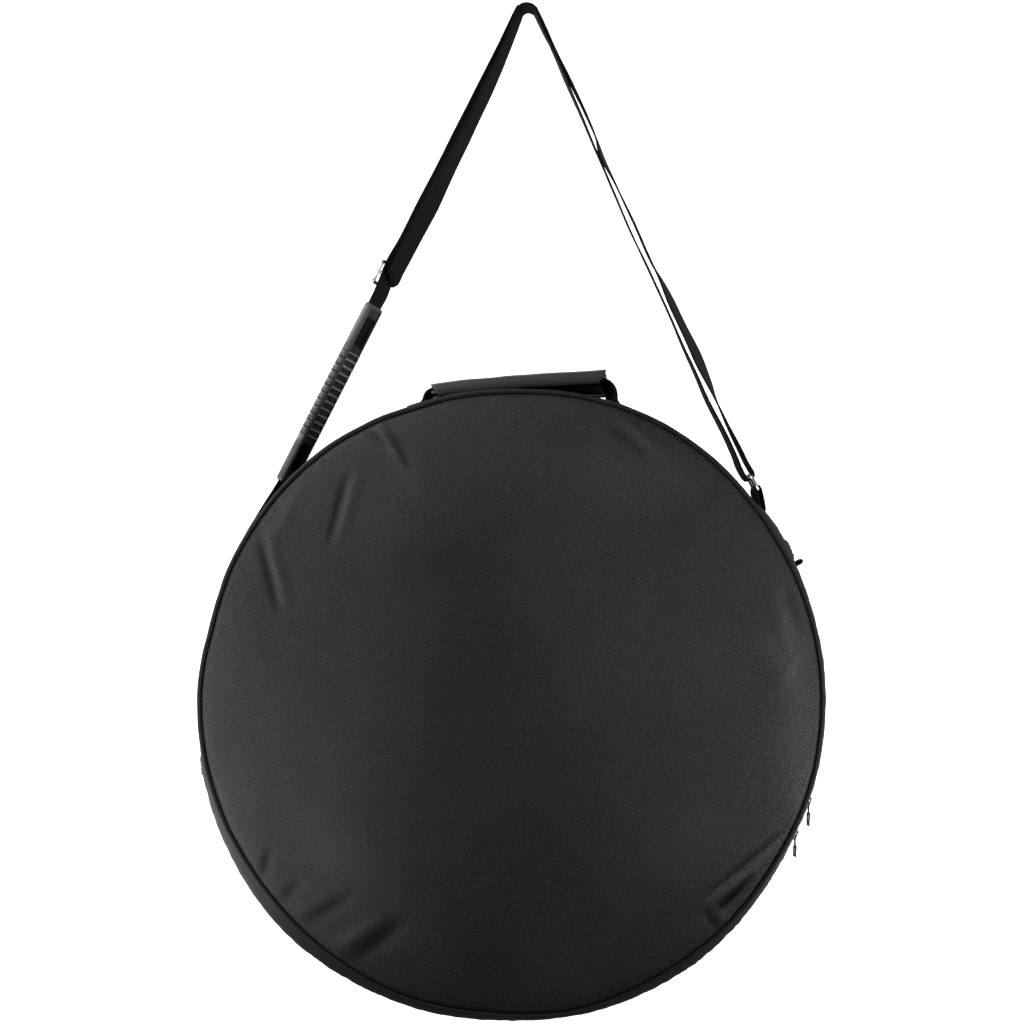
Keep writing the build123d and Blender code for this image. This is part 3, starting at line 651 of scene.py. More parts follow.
# broad soft hollows and swells of the padding, in the same form
FRONT_SWELLS = ((-60, 150, -130, -170, 62, 2.2), (10, 120, -10, -40, 60, -1.6),
                (-20, -150, 40, -235, 48, -2.6), (90, 120, 130, -60, 70, 1.3),
                (-150, -110, -110, -190, 34, 1.8), (40, 190, 100, 160, 40, -1.2),
                (150, -60, 110, -150, 45, -1.2))


# painted light and shade on the front cloth, lighter or darker, in the same form: last the change
# in tone
FRONT_PAINTED_LIGHT_AND_SHADE = ((-107, 88, 25, 165, 44, -0.36), (0, -40, 15, -225, 66, -0.37),
             (-60, -205, 20, -240, 32, -0.4),
             (-20, 90, -10, -20, 76, -0.42), (-158, -100, -84, -192, 24, 0.5),
             (110, 178, 60, 206, 30, 0.4),
             (233, 92, 238, -70, 13, 0.6), (-215, 60, -190, -90, 40, 0.1),
             (-170, 140, -120, 190, 40, 0.15),
             (140, -90, 175, -120, 25, 0.35), (20, 225, 80, 215, 26, -0.25),
             (60, 20, 170, 60, 30, 0.15),
             (100, -190, 150, -170, 22, -0.12))


def along_lines(x, z, lines):
    """Sum of soft ridges along lines, each highest near its middle."""
    x, z = x / MM, z / MM
    total = 0.0
    for x0, z0, x1, z1, width, height in lines:
        dx, dz = x1 - x0, z1 - z0
        t = ((x - x0) * dx + (z - z0) * dz) / (dx * dx + dz * dz)
        t = min(1.0, max(0.0, t))
        away = ((x - x0 - dx * t) ** 2 + (z - z0 - dz * t) ** 2) / width ** 2
        if away < 9:
            total += height * math.exp(-away) * math.sin(math.pi * (0.15 + 0.7 * t))
    return total


def crease_height(x, z):
    return (2.3 * along_lines(x, z, FRONT_CREASES) + 1.7 * along_lines(x, z, FRONT_SWELLS)) * MM


def front_painted_shade_and_tone(x, z):
    # painted light and shade: the table's lighter and darker patches, darker in the creases'
    # valleys and lighter on their ridges, with a little random tone
    shade = along_lines(x, z, FRONT_PAINTED_LIGHT_AND_SHADE) + 0.34 * along_lines(x, z, FRONT_CREASES)
    return min(1.7, max(0.3, 1 + shade + 0.07 * ripple(x, 0, z, 70 * MM, 9.0)))


def panel_swell(x, z, radius, edge_radius):
    """How far the padded front stands out from its seam."""
    inwards = edge_radius - radius
    share = radius / edge_radius
    swell = 2.8 * MM * (1 - math.exp(-inwards / (3.5 * MM)))
    swell += 4.4 * MM * (1 - math.exp(-inwards / (20 * MM))) + 2.0 * MM * (1 - share ** 2)
    pucker = 0.55 * MM * ripple(x, 0, z, 26 * MM) * math.exp(-inwards / (16 * MM))
    pucker *= 1 - math.exp(-inwards / (2 * MM))
    sag = 1.0 * MM * ripple(x, 0, z, 120 * MM, 2.0) + 0.6 * MM * ripple(x, 0, z, 50 * MM, 5.0)
    fade = 1 - math.exp(-inwards / (14 * MM))
    return swell + pucker + (sag + crease_height(x, z)) * fade


def front_y(x, z):
    angle = math.degrees(math.atan2(z, x))
    return FRONT + 3.2 * MM - panel_swell(x, z, math.hypot(x, z), seam_radius(angle))


def back_y(x, z):
    inwards = max(0.0, back_seam_radius(math.degrees(math.atan2(z, x))) - math.hypot(x, z))
    fade = 1 - math.exp(-inwards / (5 * MM))
    wave = 1.1 * ripple(x, 0, z, 90 * MM) + 0.5 * ripple(x, 0, z, 38 * MM, 3.0)
    return -3.0 * MM + (3.0 + wave) * MM * fade


def turned(name, rows):
    """Closed disc from rings of points, the first and last of them round the centre."""
    rings, around = len(rows), len(rows[0])
    points = [p for row in rows for p in row]
    faces = []
    for i in range(rings - 1):
        for j in range(around):
            k = (j + 1) % around
            faces.append((i * around + j, i * around + k, (i + 1) * around + k,
                          (i + 1) * around + j))
    for ring, order in ((0, 1), (rings - 1, -1)):
        points.append(tuple(np.mean(rows[ring], axis=0)))
        hub = len(points) - 1
        for j in range(around):
            face = (ring * around + j, hub, ring * around + (j + 1) % around)
            faces.append(face[::order])
    uvs = [(points[i][0], points[i][2]) for face in faces for i in face]
    return make_piece(name, points, faces, uvs)


PANEL_ANGLES = np.linspace(0, 360, 720, endpoint=False)


def panel_rows(edge, shares, surface_y):
    """Rings of points at shares of the edge's radius, at the y that surface_y gives."""
    rows = []
    for share in shares:
        row = []
        for angle in PANEL_ANGLES:
            x, _, z = round_bag(angle, edge(angle) * share, 0)
            row.append((x, surface_y(x, z), z))
        rows.append(row)
    return rows


def lay_painted_shade_and_tone(piece, painted_shade_and_tone):
    """Stores painted light and shade, and a random tone, at each point, for the cover's material to
    read.
    """
    layer = piece.data.attributes.new("painted_shade_and_tone", "FLOAT", "POINT")
    layer.data.foreach_set("value", [painted_shade_and_tone(v.co.x, v.co.z) for v in piece.data.vertices])


def make_panels():
    outer_shares = np.concatenate((np.linspace(0.01, 0.94, 126), np.linspace(0.945, 1.0, 16)))
    inner_shares = (0.975, 0.9, 0.6, 0.3, 0.01)
    inner_front = FRONT + COVER_THICKNESS
    front = turned("front_cover", panel_rows(seam_radius, outer_shares, front_y)
                   + panel_rows(seam_radius, inner_shares, lambda x, z: inner_front))
    finish_with(front, COVER)
    # the front gets painted light and shade
    lay_painted_shade_and_tone(front, front_painted_shade_and_tone)
    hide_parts("front_panel_upper", "front_panel_flap", "front_padding_upper",
                "front_padding_flap")
    bend_with_flap(front)

    back = turned("back_cover", panel_rows(back_seam_radius, outer_shares, back_y)
                  + panel_rows(back_seam_radius, inner_shares, lambda x, z: -COVER_THICKNESS))
    finish_with(back, COVER)
    # the back gets only a broad random change in tone
    lay_painted_shade_and_tone(back, lambda x, z: 0.95 + 0.4 * ripple(x, 0, z, 120 * MM, 4.0))
    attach(back, "bag")
    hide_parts("back_panel", "back_padding")

    def lining_edge(angle):
        return LINING_RADIUS

    lining_shares = np.linspace(0.02, 1.0, 50)
    for name, y, out, nodes in (
            ("front_lining", inner_front + 0.1 * MM, 1,
             ("front_lining_upper", "front_lining_flap")),
            ("back_lining_sheet", -7.1 * MM, -1, ("back_lining",))):
        def surface(x, z, y=y, out=out):
            return y + out * (0.9 * MM + 0.35 * MM * ripple(x, 0, z, 30 * MM, 7.0))

        def under(x, z, y=y):
            return y

        lining = turned(name, panel_rows(lining_edge, lining_shares, surface)
                        + panel_rows(lining_edge, (1.0, 0.5, 0.02), under))
        finish_with(lining, LINING)
        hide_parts(*nodes)
        follow(lining, "flap" if out > 0 else "bag")


def make_piping():
    angles = np.linspace(0, 360, 700, endpoint=False)
    for name, edge, y, nodes in (
            ("front_piping", seam_radius, FRONT + 2.9 * MM,
             ("piping_front_upper", "piping_front_flap")),
            ("back_piping", back_seam_radius, -2.9 * MM, ("piping_back",))):
        path = [round_bag(a, edge(a) + 2.4 * MM, y + 0.4 * MM * ripple(*round_bag(a, 1, 0), 0.2))
                for a in angles]
        radii = [1.85 * MM * (1 + 0.10 * ripple(*round_bag(a, 1, 0), 0.045, 4.0)) for a in angles]
        piping = finish_with(tube(name, path, np.array(radii), around=12, closed=True),
                             PIPING_CLOTH)
        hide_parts(*nodes)
        follow(piping, "flap" if edge is seam_radius else "bag")
    path, normals = [], []
    for angle in np.linspace(0, 360, 720):
        x, _, z = round_bag(angle, seam_radius(angle) - 4.2 * MM, 0)
        path.append((x, front_y(x, z) - 0.05 * MM, z))
        normals.append(tuple(0.35 * c for c in round_bag(angle, 1, -2.6)))
    row = finish_with(stitches("front_stitching", path, normals), THREAD)
    bend_with_flap(row)


# ---- zip ----
def make_zip():
    for side, body in ((1, "bag"), (-1, "flap")):
        word = "back" if side > 0 else "front"
        near, far = MIDDLE + side * 0.5 * MM, MIDDLE + side * 9 * MM
        under = TAPE_RADIUS - 0.7 * MM
        outline = ((TAPE_RADIUS, near), (TAPE_RADIUS, (near + far) / 2), (TAPE_RADIUS, far),
                   (under, far), (under, near))
        tape = swept(f"zip_tape_{word}_side",
                     [[round_bag(a, r, y) for r, y in outline] for a in ZIP_ANGLES])
        finish_with(tape, TAPE)
        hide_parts(f"zip_tape_{word}")
        turns, per_turn = 510, 10
        coil_path = []
        for step in range(turns * per_turn + 1):
            turn = 2 * math.pi * step / per_turn
            angle = ZIP_LEFT + 0.3 + (360 - ZIP_LEFT + ZIP_RIGHT - 0.6) * step / (turns * per_turn)
            coil_path.append(round_bag(angle, COIL_RADIUS + math.sin(turn) * MM,
                                       MIDDLE + side * (1.6 + 1.35 * math.cos(turn)) * MM))
        coil = tube(f"zip_teeth_{word}", coil_path, 0.36 * MM, around=5)
        finish_with(coil, COIL)
        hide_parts(f"zip_coil_{word}")
        for piece in (tape, coil):
            follow(piece, body)


def soften_edges(piece, name, width):
    bevel = piece.modifiers.new(name, "BEVEL")
    bevel.width = width
    bevel.segments = 2
    bevel.limit_method = "ANGLE"


def make_pulls():
    for which in ("upper", "lower"):
        for node in (f"slider_{which}", f"pull_{which}"):
            soften_edges(finish_with(frame["nodes"][node], LACQUER), "worn edges", 0.25 * MM)
        low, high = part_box(f"ribbon_{which}")
        x, top, bottom = (low.x + high.x) / 2, high.z, low.z
        if which == "lower":
            bottom += 0.4 * (top - bottom)
        drop = top - bottom
        stations = ((x - 0.9 * MM, MIDDLE, bottom + 0.9 * MM, 3),
                    (x - 1.0 * MM, MIDDLE, top - 0.6 * drop, 3),
                    (x - 0.8 * MM, MIDDLE, top - 1.6 * MM, 0), (x, MIDDLE, top - 0.4 * MM, 0),
                    (x + 0.8 * MM, MIDDLE, top - 1.6 * MM, 0),
                    (x + 0.5 * MM, MIDDLE, top - 0.6 * drop, -3),
                    (x + 0.4 * MM, MIDDLE, bottom, -5))
        ribbon = web_strip(f"pull_ribbon_{which}", stations, 4.4 * MM, 1.3 * MM, 0.5 * MM)
        finish_with(ribbon, RIBBON)
        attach(ribbon, f"pull_{which}")
        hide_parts(f"ribbon_{which}")


# ---- patches on the wall ----
def wall_patch(name, first_angle, last_angle, half_width, thickness, material, nodes):
    """Strip sewn flat on the side wall, with a row of stitches round its edge."""
    sections = []
    for angle in np.linspace(first_angle, last_angle, 16):
        ends = min(angle - first_angle, last_angle - angle) / (last_angle - first_angle)
        height = thickness * min(1.0, 0.35 + 6 * ends)
        ys = np.linspace(MIDDLE - half_width, MIDDLE + half_width, 12)
        top = [round_bag(angle, wall_radius(angle, y) + height * (0.4 if k in (0, 11) else 1), y)
               for k, y in enumerate(ys)]
        under = [round_bag(angle, wall_radius(angle, y) - 0.6 * MM, y) for y in ys[::-1]]
        sections.append(top + under)
    patch = finish_with(swept(name, sections), material)
    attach(patch, "bag")
    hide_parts(*nodes)
    inset = 2.2 * MM
    degree = math.degrees(inset / WALL_RADIUS)
    corners = ((first_angle + degree, MIDDLE - half_width + inset),
               (last_angle - degree, MIDDLE - half_width + inset),
               (last_angle - degree, MIDDLE + half_width - inset),
               (first_angle + degree, MIDDLE + half_width - inset),
               (first_angle + degree, MIDDLE - half_width + inset))
    path = []
    for (a0, y0), (a1, y1) in zip(corners[:-1], corners[1:]):
        for t in np.linspace(0, 1, 12)[:-1]:
            a, y = a0 + (a1 - a0) * t, y0 + (y1 - y0) * t
            path.append(round_bag(a, wall_radius(a, y) + thickness, y))
    normals = [Vector((p[0], 0, p[2])).normalized() for p in path]
    row = finish_with(stitches(f"{name}_stitching", path, normals), THREAD)
    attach(row, "bag")


def make_patches():
    wall_patch("zip_end_right", ZIP_RIGHT + 0.6, ZIP_RIGHT + 4.4, 17 * MM, 1.3 * MM, TRIM,
               ("zip_end_patch_right",))
    wall_patch("zip_end_left", ZIP_LEFT - 4.4, ZIP_LEFT - 0.6, 17 * MM, 1.3 * MM, TRIM,
               ("zip_end_patch_left",))
    tab_angle = math.radians(ZIP_RIGHT - 0.4)
    out = Vector((math.cos(tab_angle), 0, math.sin(tab_angle)))
    side = Vector((-out.z, 0, out.x))
    reach = ((262, 1.3, 4), (266, 1.2, 6), (270, 0.9, 8), (271.4, 0, 9), (270, -0.9, 8),
             (266, -1.2, 6),
             (262, -1.3, 4))
    stations = [(*(out * r * MM + side * s * MM + Vector((0, MIDDLE, 0))), t) for r, s, t in reach]
    tab = web_strip("zip_end_loop", stations, 15 * MM, 1.0 * MM, 0.8 * MM)
    finish_with(tab, TRIM)
    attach(tab, "bag")
    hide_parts("zip_end_tab")


# ---- strap ----
def leg_point(station, out=0.0):
    """Point on the left leg by distance up it, with an offset outwards."""
    foot = Vector((-194.7 * MM, MIDDLE, 173.8 * MM))
    outward = Vector((-LEG_DIRECTION.z, 0, LEG_DIRECTION.x))
    return foot + LEG_DIRECTION * station + outward * out


def at(x, z, turn):
    """Station of a strap run: x and z in mm, its turn in degrees."""
    return (x * MM, MIDDLE, z * MM, turn)


APEX = Vector((13.9 * MM, MIDDLE, 576.2 * MM))


def arch(radius, first, last, turns):
    """Stations round the strap's highest bend, clockwise between two angles."""
    made = []
    for t in np.linspace(0, 1, 9):
        angle = math.radians(first + (last - first) * t)
        turn = turns[0] + (turns[1] - turns[0]) * t
        made.append((APEX.x + radius * math.cos(angle), MIDDLE, APEX.z + radius * math.sin(angle),
                     turn))
    return made


def make_strap():
    left_leg = [at(-229, 127, 0), at(-220.5, 143, 2), at(-209, 160, 6), at(-197, 176, 12),
                at(-189.5, 187, 16),
                at(-178.5, 208.5, 17), at(-153.6, 257.4, 17), at(-128.6, 306.5, 17),
                at(-115.4, 332.4, 18),
                at(-110.5, 342, 19), at(-106.0, 354, 18),
                at(-101, 369, 14), at(-91.5, 388, 8), at(-75, 422, 6), at(-57, 456, 6),
                at(-31, 507, 8),
                at(-9.7, 549, 8)]
    right_outer = [at(34.9, 552.5, 1), at(45.8, 530.5, 0), at(61.4, 498.8, -2), at(71.6, 475, -4),
                   at(77, 458, -9),
                   at(88, 436, -5),
                   at(102, 406, -3), at(118, 371, -3), at(126.5, 355, -8), at(135, 337, -14),
                   at(146, 313, -15), at(158, 288, -18), at(167, 268, -12), at(173.5, 252, -5),
                   at(189.4, 219, 1), at(198.6, 200, 2)]
    ring_turn = [at(203.7, 191.0, 2), at(203.5, 187.3, 0), at(200.3, 185.3, -2),
                 at(197.1, 187.0, -3)]
    right_inner = [at(192.0, 196.6, -4), at(186.0, 211.6, -3), at(165.5, 253, -1),
                   at(150.4, 287, 1),
                   at(135.3, 321, 3), at(119.8, 355, 3), at(104.4, 388, 4), at(89.5, 422, 3),
                   at(75.8, 454, 3), at(61.4, 488, 2), at(51.4, 511, 1), at(42.6, 531.5, 0),
                   at(32.3, 554.5, 2)]
    stations = (left_leg + arch(9.2 * MM, 154, 27, (9, 1)) + right_outer + ring_turn + right_inner)
    long_strand = finish_with(web_strip("shoulder_strap", stations, wave=0.5 * MM), WEBBING)
    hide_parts("strap_left_long", "strap_apex_outer", "strap_right_outer",
                "strap_ring_turn", "strap_right_inner")
    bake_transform(long_strand)

    returning = ([at(32.3, 554.5, -2)] + arch(7.5 * MM, 27, 154, (1, 9))
                 + [at(-4.9, 549, 11), at(-13.6, 529, 13), at(-23.6, 507, 14), at(-48.5, 456, 15),
                    at(-65, 422, 20),
                    at(-74.2, 405, 21), at(-83.4, 388, 21), at(-91.2, 373, 20), at(-97.2, 361, 19),
                    at(-100.0, 355.2, 20), at(-102.6, 354.6, 20), at(-103.4, 357.0, 19),
                    at(-101.6, 361.0, 19)])
    doubled = web_strip("strap_return", [(x, y, z, -t) for x, y, z, t in returning], wave=0.6 * MM)
    finish_with(doubled, WEBBING)
    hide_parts("strap_apex_inner", "strap_left_doubled", "strap_sewn_end")
    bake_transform(doubled)


def smooth_loop(path, per_step=3):
    """Closed path with extra points between each two, on the straight line."""
    made = []
    for a, b in zip(path, path[1:] + path[:1]):
        made += [a + (b - a) * t for t in np.arange(per_step) / per_step]
    return made


def wire_frame(name, centre, across, along, half_size, corner, steps, wire, around, bow=None):
    """Closed wire round a rectangle with rounded corners; bow offsets it by its station."""
    half_width, half_length = half_size
    path = []
    for sx, sz, start in ((1, 1, 0), (-1, 1, 90), (-1, -1, 180), (1, -1, 270)):
        for a in np.linspace(start, start + 90, steps):
            w = sx * (half_width - corner) + corner * cos_deg(a)
            l = sz * (half_length - corner) + corner * sin_deg(a)
            point = centre + across * w + along * l
            path.append(point + bow * (l / half_length) ** 2 if bow else point)
    return finish_with(tube(name, smooth_loop(path), wire, around=around, closed=True),
                       CHROME)


def make_tri_glide():
    turn = math.radians(18)
    outward = Vector((-LEG_DIRECTION.z, 0, LEG_DIRECTION.x))
    across = TOWARDS_FRONT * math.cos(turn) + outward * math.sin(turn)
    centre = leg_point(204.7 * MM, 0.2 * MM)
    half_width = 17 * MM
    rim = wire_frame("tri_glide_frame", centre, across, LEG_DIRECTION, (half_width, 9.6 * MM),
                     3.5 * MM, 7, 1.55 * MM, 12, bow=outward * 1.2 * MM)
    bar_path = [centre + across * w - outward * 0.4 * MM for w in np.linspace(-half_width,
                                                                              half_width, 6)]
    bar = finish_with(tube("tri_glide_bar", bar_path, 1.35 * MM, around=12), CHROME)
    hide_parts("tri_glide")
    for piece in (rim, bar):
        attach(piece, "tri_glide")


# ---- grip ----
def make_grip():
    length, block = 167 * MM, 44 * MM
    half_thick = 3.3 * MM
    rings = 12
    pitch = (length - 2 * block) / rings
    foot, head = Vector((-191.2 * MM, MIDDLE, 183.6 * MM)), Vector((-115.4 * MM, MIDDLE,
                                                                    332.4 * MM))
    direction = (head - foot).normalized()
    outward = Vector((-direction.z, 0, direction.x))
    turn = math.radians(17)
    across = np.array(TOWARDS_FRONT * math.cos(turn) + outward * math.sin(turn))
    normal = np.array(outward * math.cos(turn) - TOWARDS_FRONT * math.sin(turn))
    window_half, window_reach = 13 * MM, 12.6 * MM
    windows = (block / 2 + 2 * MM, length - block / 2 - 2 * MM)
    flat = 14.0 * MM              # half width of the flat face, inside the rounded sides
    wide = np.unique(np.concatenate((np.linspace(-flat, flat, 75),
                                     (-12.7 * MM, -12.5 * MM, 12.5 * MM, 12.7 * MM))))
    side = np.linspace(-82, 82, 9)
    slot_pitch, slot_half = 5.4 * MM, 1.85 * MM

    def to_boundary(s):
        """Distance to the nearest edge between two rings."""
        phase = ((s - block) / pitch) % 1.0
        return min(phase, 1 - phase) * pitch

    def in_rings(s):
        return block - 0.1 * MM <= s <= length - block + 0.1 * MM

    def face_height(a, s):
        if any(abs(s - w) < window_half for w in windows) and abs(a) < window_reach:
            return 0.4 * MM
        from_slot = abs((a + slot_pitch / 2) % slot_pitch - slot_pitch / 2)
        cut = 1.9 * MM * (1 - smooth_step(slot_half * 0.8, slot_half * 1.25, from_slot))
        if abs(a) > flat - 1.2 * MM:
            cut = 1.3 * MM * (1 - bead(s)) if in_rings(s) else 0.0
        if in_rings(s):
            ridge = 1 - smooth_step(0.5 * MM, 1.1 * MM, to_boundary(s))
            return half_thick + 0.7 * MM * ridge - cut * (1 - ridge)
        return half_thick - cut * smooth_step(2 * MM, 4 * MM, min(s, length - s))

    def bead(s):
        """1 in the middle of a ring's rounded side, 0 in the gap to the next."""
        return math.sqrt(max(0.0, 1 - (1 - 2 * to_boundary(s) / pitch) ** 2))

    def side_reach(s):
        return 0.9 * MM + 2.6 * MM * bead(s) if in_rings(s) else 2.5 * MM

    def section(s):
        shrink = 1 - 0.10 * (1 - smooth_step(0, 2.5 * MM, min(s, length - s)))
        outline = [(a, -face_height(a, s)) for a in wide]
        reach, tall = side_reach(s), half_thick
        if in_rings(s):
            tall -= 0.6 * MM * (1 - bead(s))
        curve = [(reach * cos_deg(d) ** 0.7, tall * sin_deg(d))
                 for d in side]
        outline += [(flat + out, up) for out, up in curve]
        outline += [(a, face_height(a, s)) for a in wide[::-1]]
        outline += [(-flat - out, -up) for out, up in curve]
        centre = np.array(foot + direction * s)
        return [centre + across * a * shrink + normal * b * shrink for a, b in outline]

    cuts = [0.0, 0.6 * MM, 1.4 * MM, 2.5 * MM]
    cuts += [length - c for c in cuts]
    for w in windows:
        for edge in (w - window_half, w + window_half):
            cuts += [edge - 0.12 * MM, edge + 0.12 * MM]
    cuts += list(np.linspace(4 * MM, block - 1 * MM, 8))
    cuts += list(np.linspace(length - block + 1 * MM, length - 4 * MM, 8))
    cuts += list(block + np.arange(rings * 14 + 1) * pitch / 14)
    cuts = sorted(set(cuts))
    body = finish_with(swept("strap_grip", [section(s) for s in cuts]), GRIP_PLASTIC)
    # besides its own plastic, the grip gets a near-white painted highlight, a near-black painted
    # shade and webbing in its windows
    for material in (GRIP_PAINTED_HIGHLIGHT, GRIP_PAINTED_SHADE, WEBBING):
        body.data.materials.append(material)
    plastic, painted_highlight_face, painted_shade_face, window = range(4)
    around = len(section(0))
    # painted highlight on each ring's edge, on the near face
    for k, (s, after) in enumerate(zip(cuts[:-1], cuts[1:])):
        middle = (s + after) / 2
        for j, a in enumerate((wide[:-1] + wide[1:]) / 2):
            # painted shade in the slots between the lengthwise ribs
            slotted = abs((a + slot_pitch / 2) % slot_pitch - slot_pitch / 2) < slot_half
            index = plastic
            if any(abs(middle - w) < window_half for w in windows) and abs(a) < window_reach:
                index = window
            elif in_rings(middle) and to_boundary(middle) < 0.95 * MM:
                index = painted_highlight_face
            elif slotted and abs(a) < flat - 1.2 * MM and 3 * MM < middle < length - 3 * MM:
                index = painted_shade_face
            body.data.polygons[k * around + j].material_index = index
            # on the far face, painted shade stands where the near face has its painted highlight
            mirrored = k * around + 2 * len(wide) + len(side) - 2 - j
            if index == painted_highlight_face:
                index = painted_shade_face
            body.data.polygons[mirrored].material_index = index
        # painted shade in the gaps between the rings' rounded sides
        if in_rings(middle) and to_boundary(middle) < 0.5 * MM:
            for j in range(len(side) + 1):
                for first in (len(wide) - 1, 2 * len(wide) + len(side) - 1):
                    body.data.polygons[k * around + (first + j) % around].material_index = painted_shade_face
    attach(body, "grip")
    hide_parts("grip")


# ---- carry handle ----
WRAP_JOINT = JOINTS["wrap_open"]
WRAP_TILT = math.radians(3.6)


def wrap_point(along, back, up):
    """Point on the handle's wrap, from its lower front corner at the left."""
    length = 148 * MM
    t = along / length
    droop = 3.0 * MM * max(0.0, 0.55 - t) ** 2 / 0.3
    corner = Vector(WRAP_JOINT["pos_m"]) + Vector((0, 0, -4.6 * MM))
    tilt = Vector((math.cos(WRAP_TILT), 0, math.sin(WRAP_TILT)))
    rise = Vector((-tilt.z, 0, tilt.x))
    return corner + tilt * along + rise * (up - droop) + Vector((0, back, 0))


def wrap_shell(name, outline, thickness, inset, wobble, sag=0.0):
    """Folded sheet along the handle; outline lists (back, up) in mm round one side of it.
    Its lower half hangs lower, by sag mm, towards the right."""
    path = smooth_path([(b, u, 0) for b, u in outline], 1.2)
    tangents = np.gradient(path, axis=0)
    tangents /= np.linalg.norm(tangents, axis=1)[:, None]
    normals = np.stack((tangents[:, 1], -tangents[:, 0]), axis=1)
    low, high = path[:, 1].min(), path[:, 1].max()
    sections = []
    for t in np.linspace(0, 1, 60):
        ring = []
        for side in (0, 1):
            rows = list(zip(path, normals))[::-1 if side else 1]
            for (b, u, _), (nb, nu) in rows:
                cut = inset * (1 - (u - low) / (high - low)) ** 1.3
                along = (cut + (148 - 2 * cut) * t) * MM
                u -= sag * smooth_step(0.35, 1.0, t) * (1 - smooth_step(1.0, 6.5, u))
                ripple_here = wobble * ripple(along, b * MM, u * MM, 24 * MM)
                ring.append(wrap_point(along, (b + nb * (thickness * side + ripple_here)) * MM,
                                       (u + nu * (thickness * side + ripple_here)) * MM))
        sections.append(ring)
    return swept(name, sections)


def make_handle():
    cover = wrap_shell("handle_cover",
                       ((0.7, 1.7), (-0.4, 3.2), (-0.8, 6), (-0.2, 9.6), (1.8, 12.0),
                                        (5.5, 13.2), (12, 13.6), (19, 13.7), (26, 13.5)), 1.3, 7.5,
                       0.5)
    finish_with(cover, WRAP)
    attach(cover, "wrap_cover")
    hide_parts("wrap_cover")
    sleeve = wrap_shell("handle_sleeve",
                        ((3.5, 0.4), (12, -0.6), (24, -0.6), (34, 0.4), (37, 3), (37.6, 6),
                                          (36.5, 9.2), (33, 11), (26, 11.6), (13, 11.4)), 1.2, 2.5,
                        0.4, sag=8.0)
    finish_with(sleeve, WRAP)
    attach(sleeve, "handle")
    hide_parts("wrap_sleeve")
    for name, node, body, up in (("loop_band", "loop_strip", "handle", 11.0),
                                 ("hook_band", "hook_strip", "wrap_cover", 12.2)):
        band = wrap_shell(name, ((13.5, up), (19, up + 0.2), (25.5, up)), -0.8, 1.0, 0.3)
        finish_with(band, PILE)
        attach(band, body)
        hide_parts(node)
    foam = wrap_shell("handle_pad", ((5, 5.2), (12, 4.8), (24, 4.8), (33, 5.2)), -4.6, 3.0, 0.2)
    finish_with(foam, FOAM)
    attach(foam, "handle")
    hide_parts("handle_foam")
    webbing = web_strip("handle_webbing_strip",
                        [at(-90, 244.2, 0), at(-80, 247.6, 0), at(-75, 249.8, 2),
                         at(-71.4, 253.2, 8),
                         at(-69.4, 257.2, 10), at(-65, 260.3, 7), at(-58, 261.2, 3),
                         at(-30, 262, 0), at(10, 264, 0),
                         at(50, 266.6, 0), at(71, 268.4, 4), at(78.8, 267.2, 10),
                         at(83.2, 262.2, 15),
                         at(84.9, 256.2, 15), at(86.9, 251.2, 9), at(91.5, 247.0, 3),
                         at(98, 243.6, 0),
                         at(105, 240.6, 0)], thickness=3.2 * MM, spacing=1.6 * MM)
    finish_with(webbing, WEBBING)
    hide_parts("handle_webbing")
    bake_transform(webbing)


def make_ring_and_tab():
    top, low = Vector((201.0 * MM, MIDDLE, 189.0 * MM)), Vector((206.8 * MM, MIDDLE, 177.6 * MM))
    centre, half_height = (top + low) / 2, (top - low).length / 2
    along = (top - low).normalized()
    ring = wire_frame("strap_ring", centre, TOWARDS_FRONT, along, (18 * MM, half_height),
                      4.5 * MM, 8, 1.75 * MM, 14)
    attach(ring, "strap")
    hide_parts("ring_right")
    stations = [at(226, 131.5, 0), at(219, 143, 0), at(211.5, 156, -3), at(207.6, 166, -8),
                at(205.2, 173.5, -6),
                at(204.4, 177.5, -3), at(205.8, 180.4, 0), at(208.0, 180.4, 2), at(209.4, 177.8, 4),
                at(210.2, 173.5, 6), at(211.2, 169, 6), at(212.4, 165, 4), at(213.2, 161, 2),
                at(213.0, 157, 0)]
    tab = web_strip("ring_tab_loop", stations, 25 * MM, 1.6 * MM, 1.2 * MM)
    finish_with(tab, WEBBING)
    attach(tab, "bag")
    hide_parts("ring_tab")


def finish_remaining_nodes():
    """CAD parts whose shape is right: a finer material and softened edges."""
    for node in ("strap_patch_left", "handle_patch_left", "handle_patch_right"):
        finish_with(frame["nodes"][node], ANCHOR)
    soften_edges(finish_with(frame["nodes"]["gong"], BRONZE), "soft edges", 0.4 * MM)


# ---- studio ----
LEFT_POWER, RIGHT_POWER, TOP_POWER = 2.25, 1.8, 5.0
PAPER_POWER, FLOOR_POWER = 60, 60
PAPER_GLOW = 0.9             # keeps the floor pale where the lights don't reach
BACK_SHARE = 0.55            # power of the lights behind the bag, of those in front
AMBIENT = 0.03               # light from all round on cloth
REFLECTED = 0.3              # what polished metal sees around it


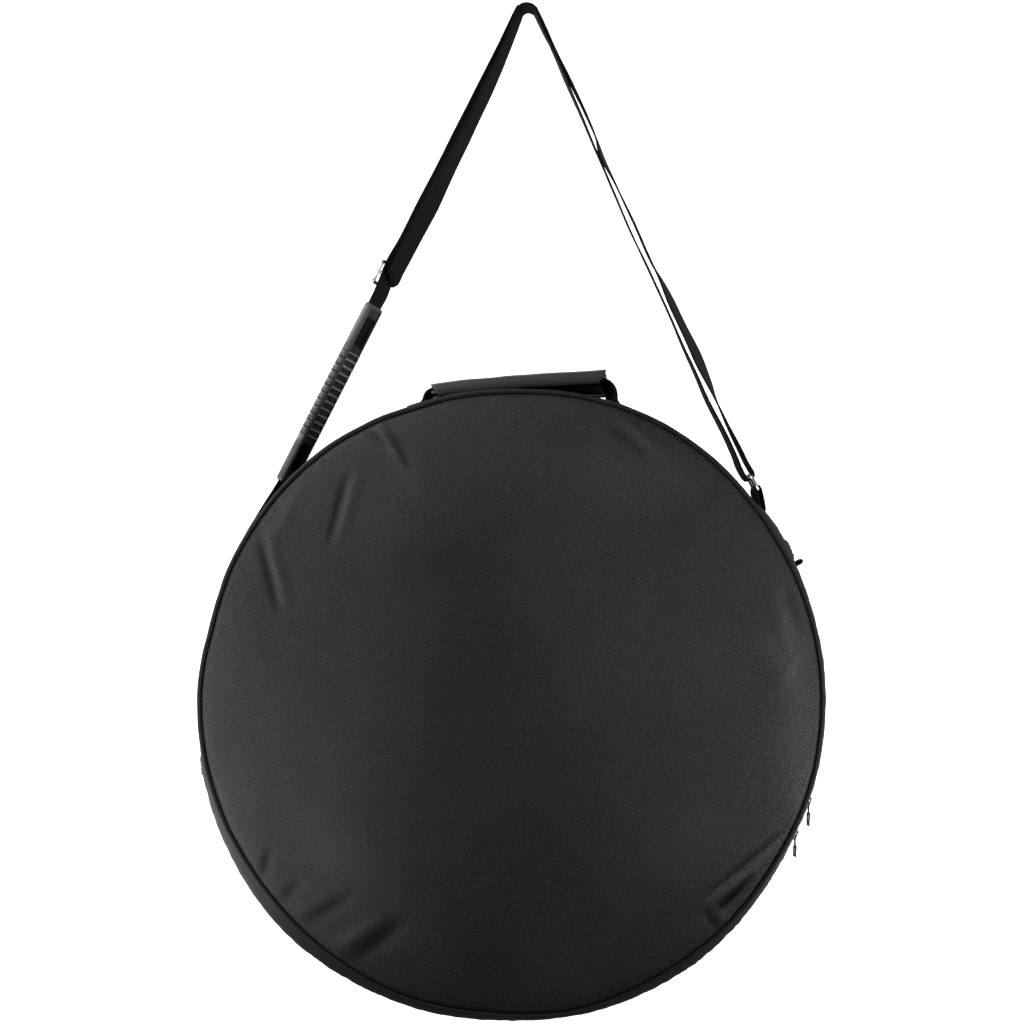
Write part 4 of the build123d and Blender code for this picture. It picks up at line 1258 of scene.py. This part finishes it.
def make_studio():
    floor_height = -0.36
    profile = [(-7.0, floor_height)]
    profile += [(4.4 + 1.4 * math.sin(a), floor_height + 1.4 * (1 - math.cos(a)))
                for a in np.linspace(0, math.pi / 2, 14)]
    profile.append((5.8, 6.0))
    points = [(x, y, z) for y, z in profile for x in (-8.0, 8.0)]
    faces = [(2 * k, 2 * k + 1, 2 * k + 3, 2 * k + 2) for k in range(len(profile) - 1)]
    sweep = make_piece("studio_sweep", points, faces)
    paper = Shader("studio_paper", (0.93, 0.93, 0.93), 0.9, specular=0.1)
    paper.bsdf.inputs["Emission Color"].default_value = (1, 1, 1, 1)
    paper.bsdf.inputs["Emission Strength"].default_value = PAPER_GLOW
    sweep.data.materials.append(paper.material)
    sweep.visible_diffuse = False      # the paper's brightness doesn't spill onto the bag
    sweep.visible_glossy = False
    world = bpy.data.worlds.new("studio")
    world.use_nodes = True
    nodes, links = world.node_tree.nodes, world.node_tree.links
    seen, ambient, shiny = [nodes["Background"], nodes.new("ShaderNodeBackground"),
                            nodes.new("ShaderNodeBackground")]
    for light, strength in ((seen, 1.0), (ambient, AMBIENT), (shiny, REFLECTED)):
        light.inputs["Strength"].default_value = strength
        light.inputs["Color"].default_value = (1, 1, 1, 1)
    rays = nodes.new("ShaderNodeLightPath")
    inner, outer = nodes.new("ShaderNodeMixShader"), nodes.new("ShaderNodeMixShader")
    for mix, kind, otherwise, chosen in ((inner, "Is Glossy Ray", ambient, shiny),
                                         (outer, "Is Camera Ray", inner, seen)):
        links.new(rays.outputs[kind], mix.inputs[0])
        links.new(otherwise.outputs[0], mix.inputs[1])
        links.new(chosen.outputs[0], mix.inputs[2])
    links.new(outer.outputs[0], nodes["World Output"].inputs[0])
    bpy.context.scene.world = world
    for name, place, aim, size, power in (
            ("left", (-0.52, -0.25, -0.08), (-0.3, -0.07, 0.4), (0.3, 0.6), LEFT_POWER),
            ("right", (0.54, -0.23, 0.0), (0.3, -0.07, 0.29), (0.3, 0.6), RIGHT_POWER),
            ("top", (-0.48, -0.38, 0.66), (0, -0.07, 0.1), (0.8, 0.3), TOP_POWER)):
        add_area_light(f"soft_box_{name}", place, aim, size, power)
        behind, aim_behind = [(x, -y - DEPTH, z) for x, y, z in (place, aim)]
        add_area_light(f"back_box_{name}", behind, aim_behind, size, power * BACK_SHARE)
    add_area_light("paper_light", (0, 3.55, 2.6), (0, 5.2, 0.3), (4.0, 0.8), PAPER_POWER)
    add_area_light("floor_light", (0, 2.9, 2.1), (0, 3.0, -0.36), (4.5, 3.6), FLOOR_POWER)
    bpy.context.scene.view_settings.view_transform = "Standard"


make_camera()
make_studio()
make_panels()
make_side_wall()
make_piping()
make_zip()
make_pulls()
make_patches()
make_strap()
make_tri_glide()
make_grip()
make_handle()
make_ring_and_tab()
finish_remaining_nodes()
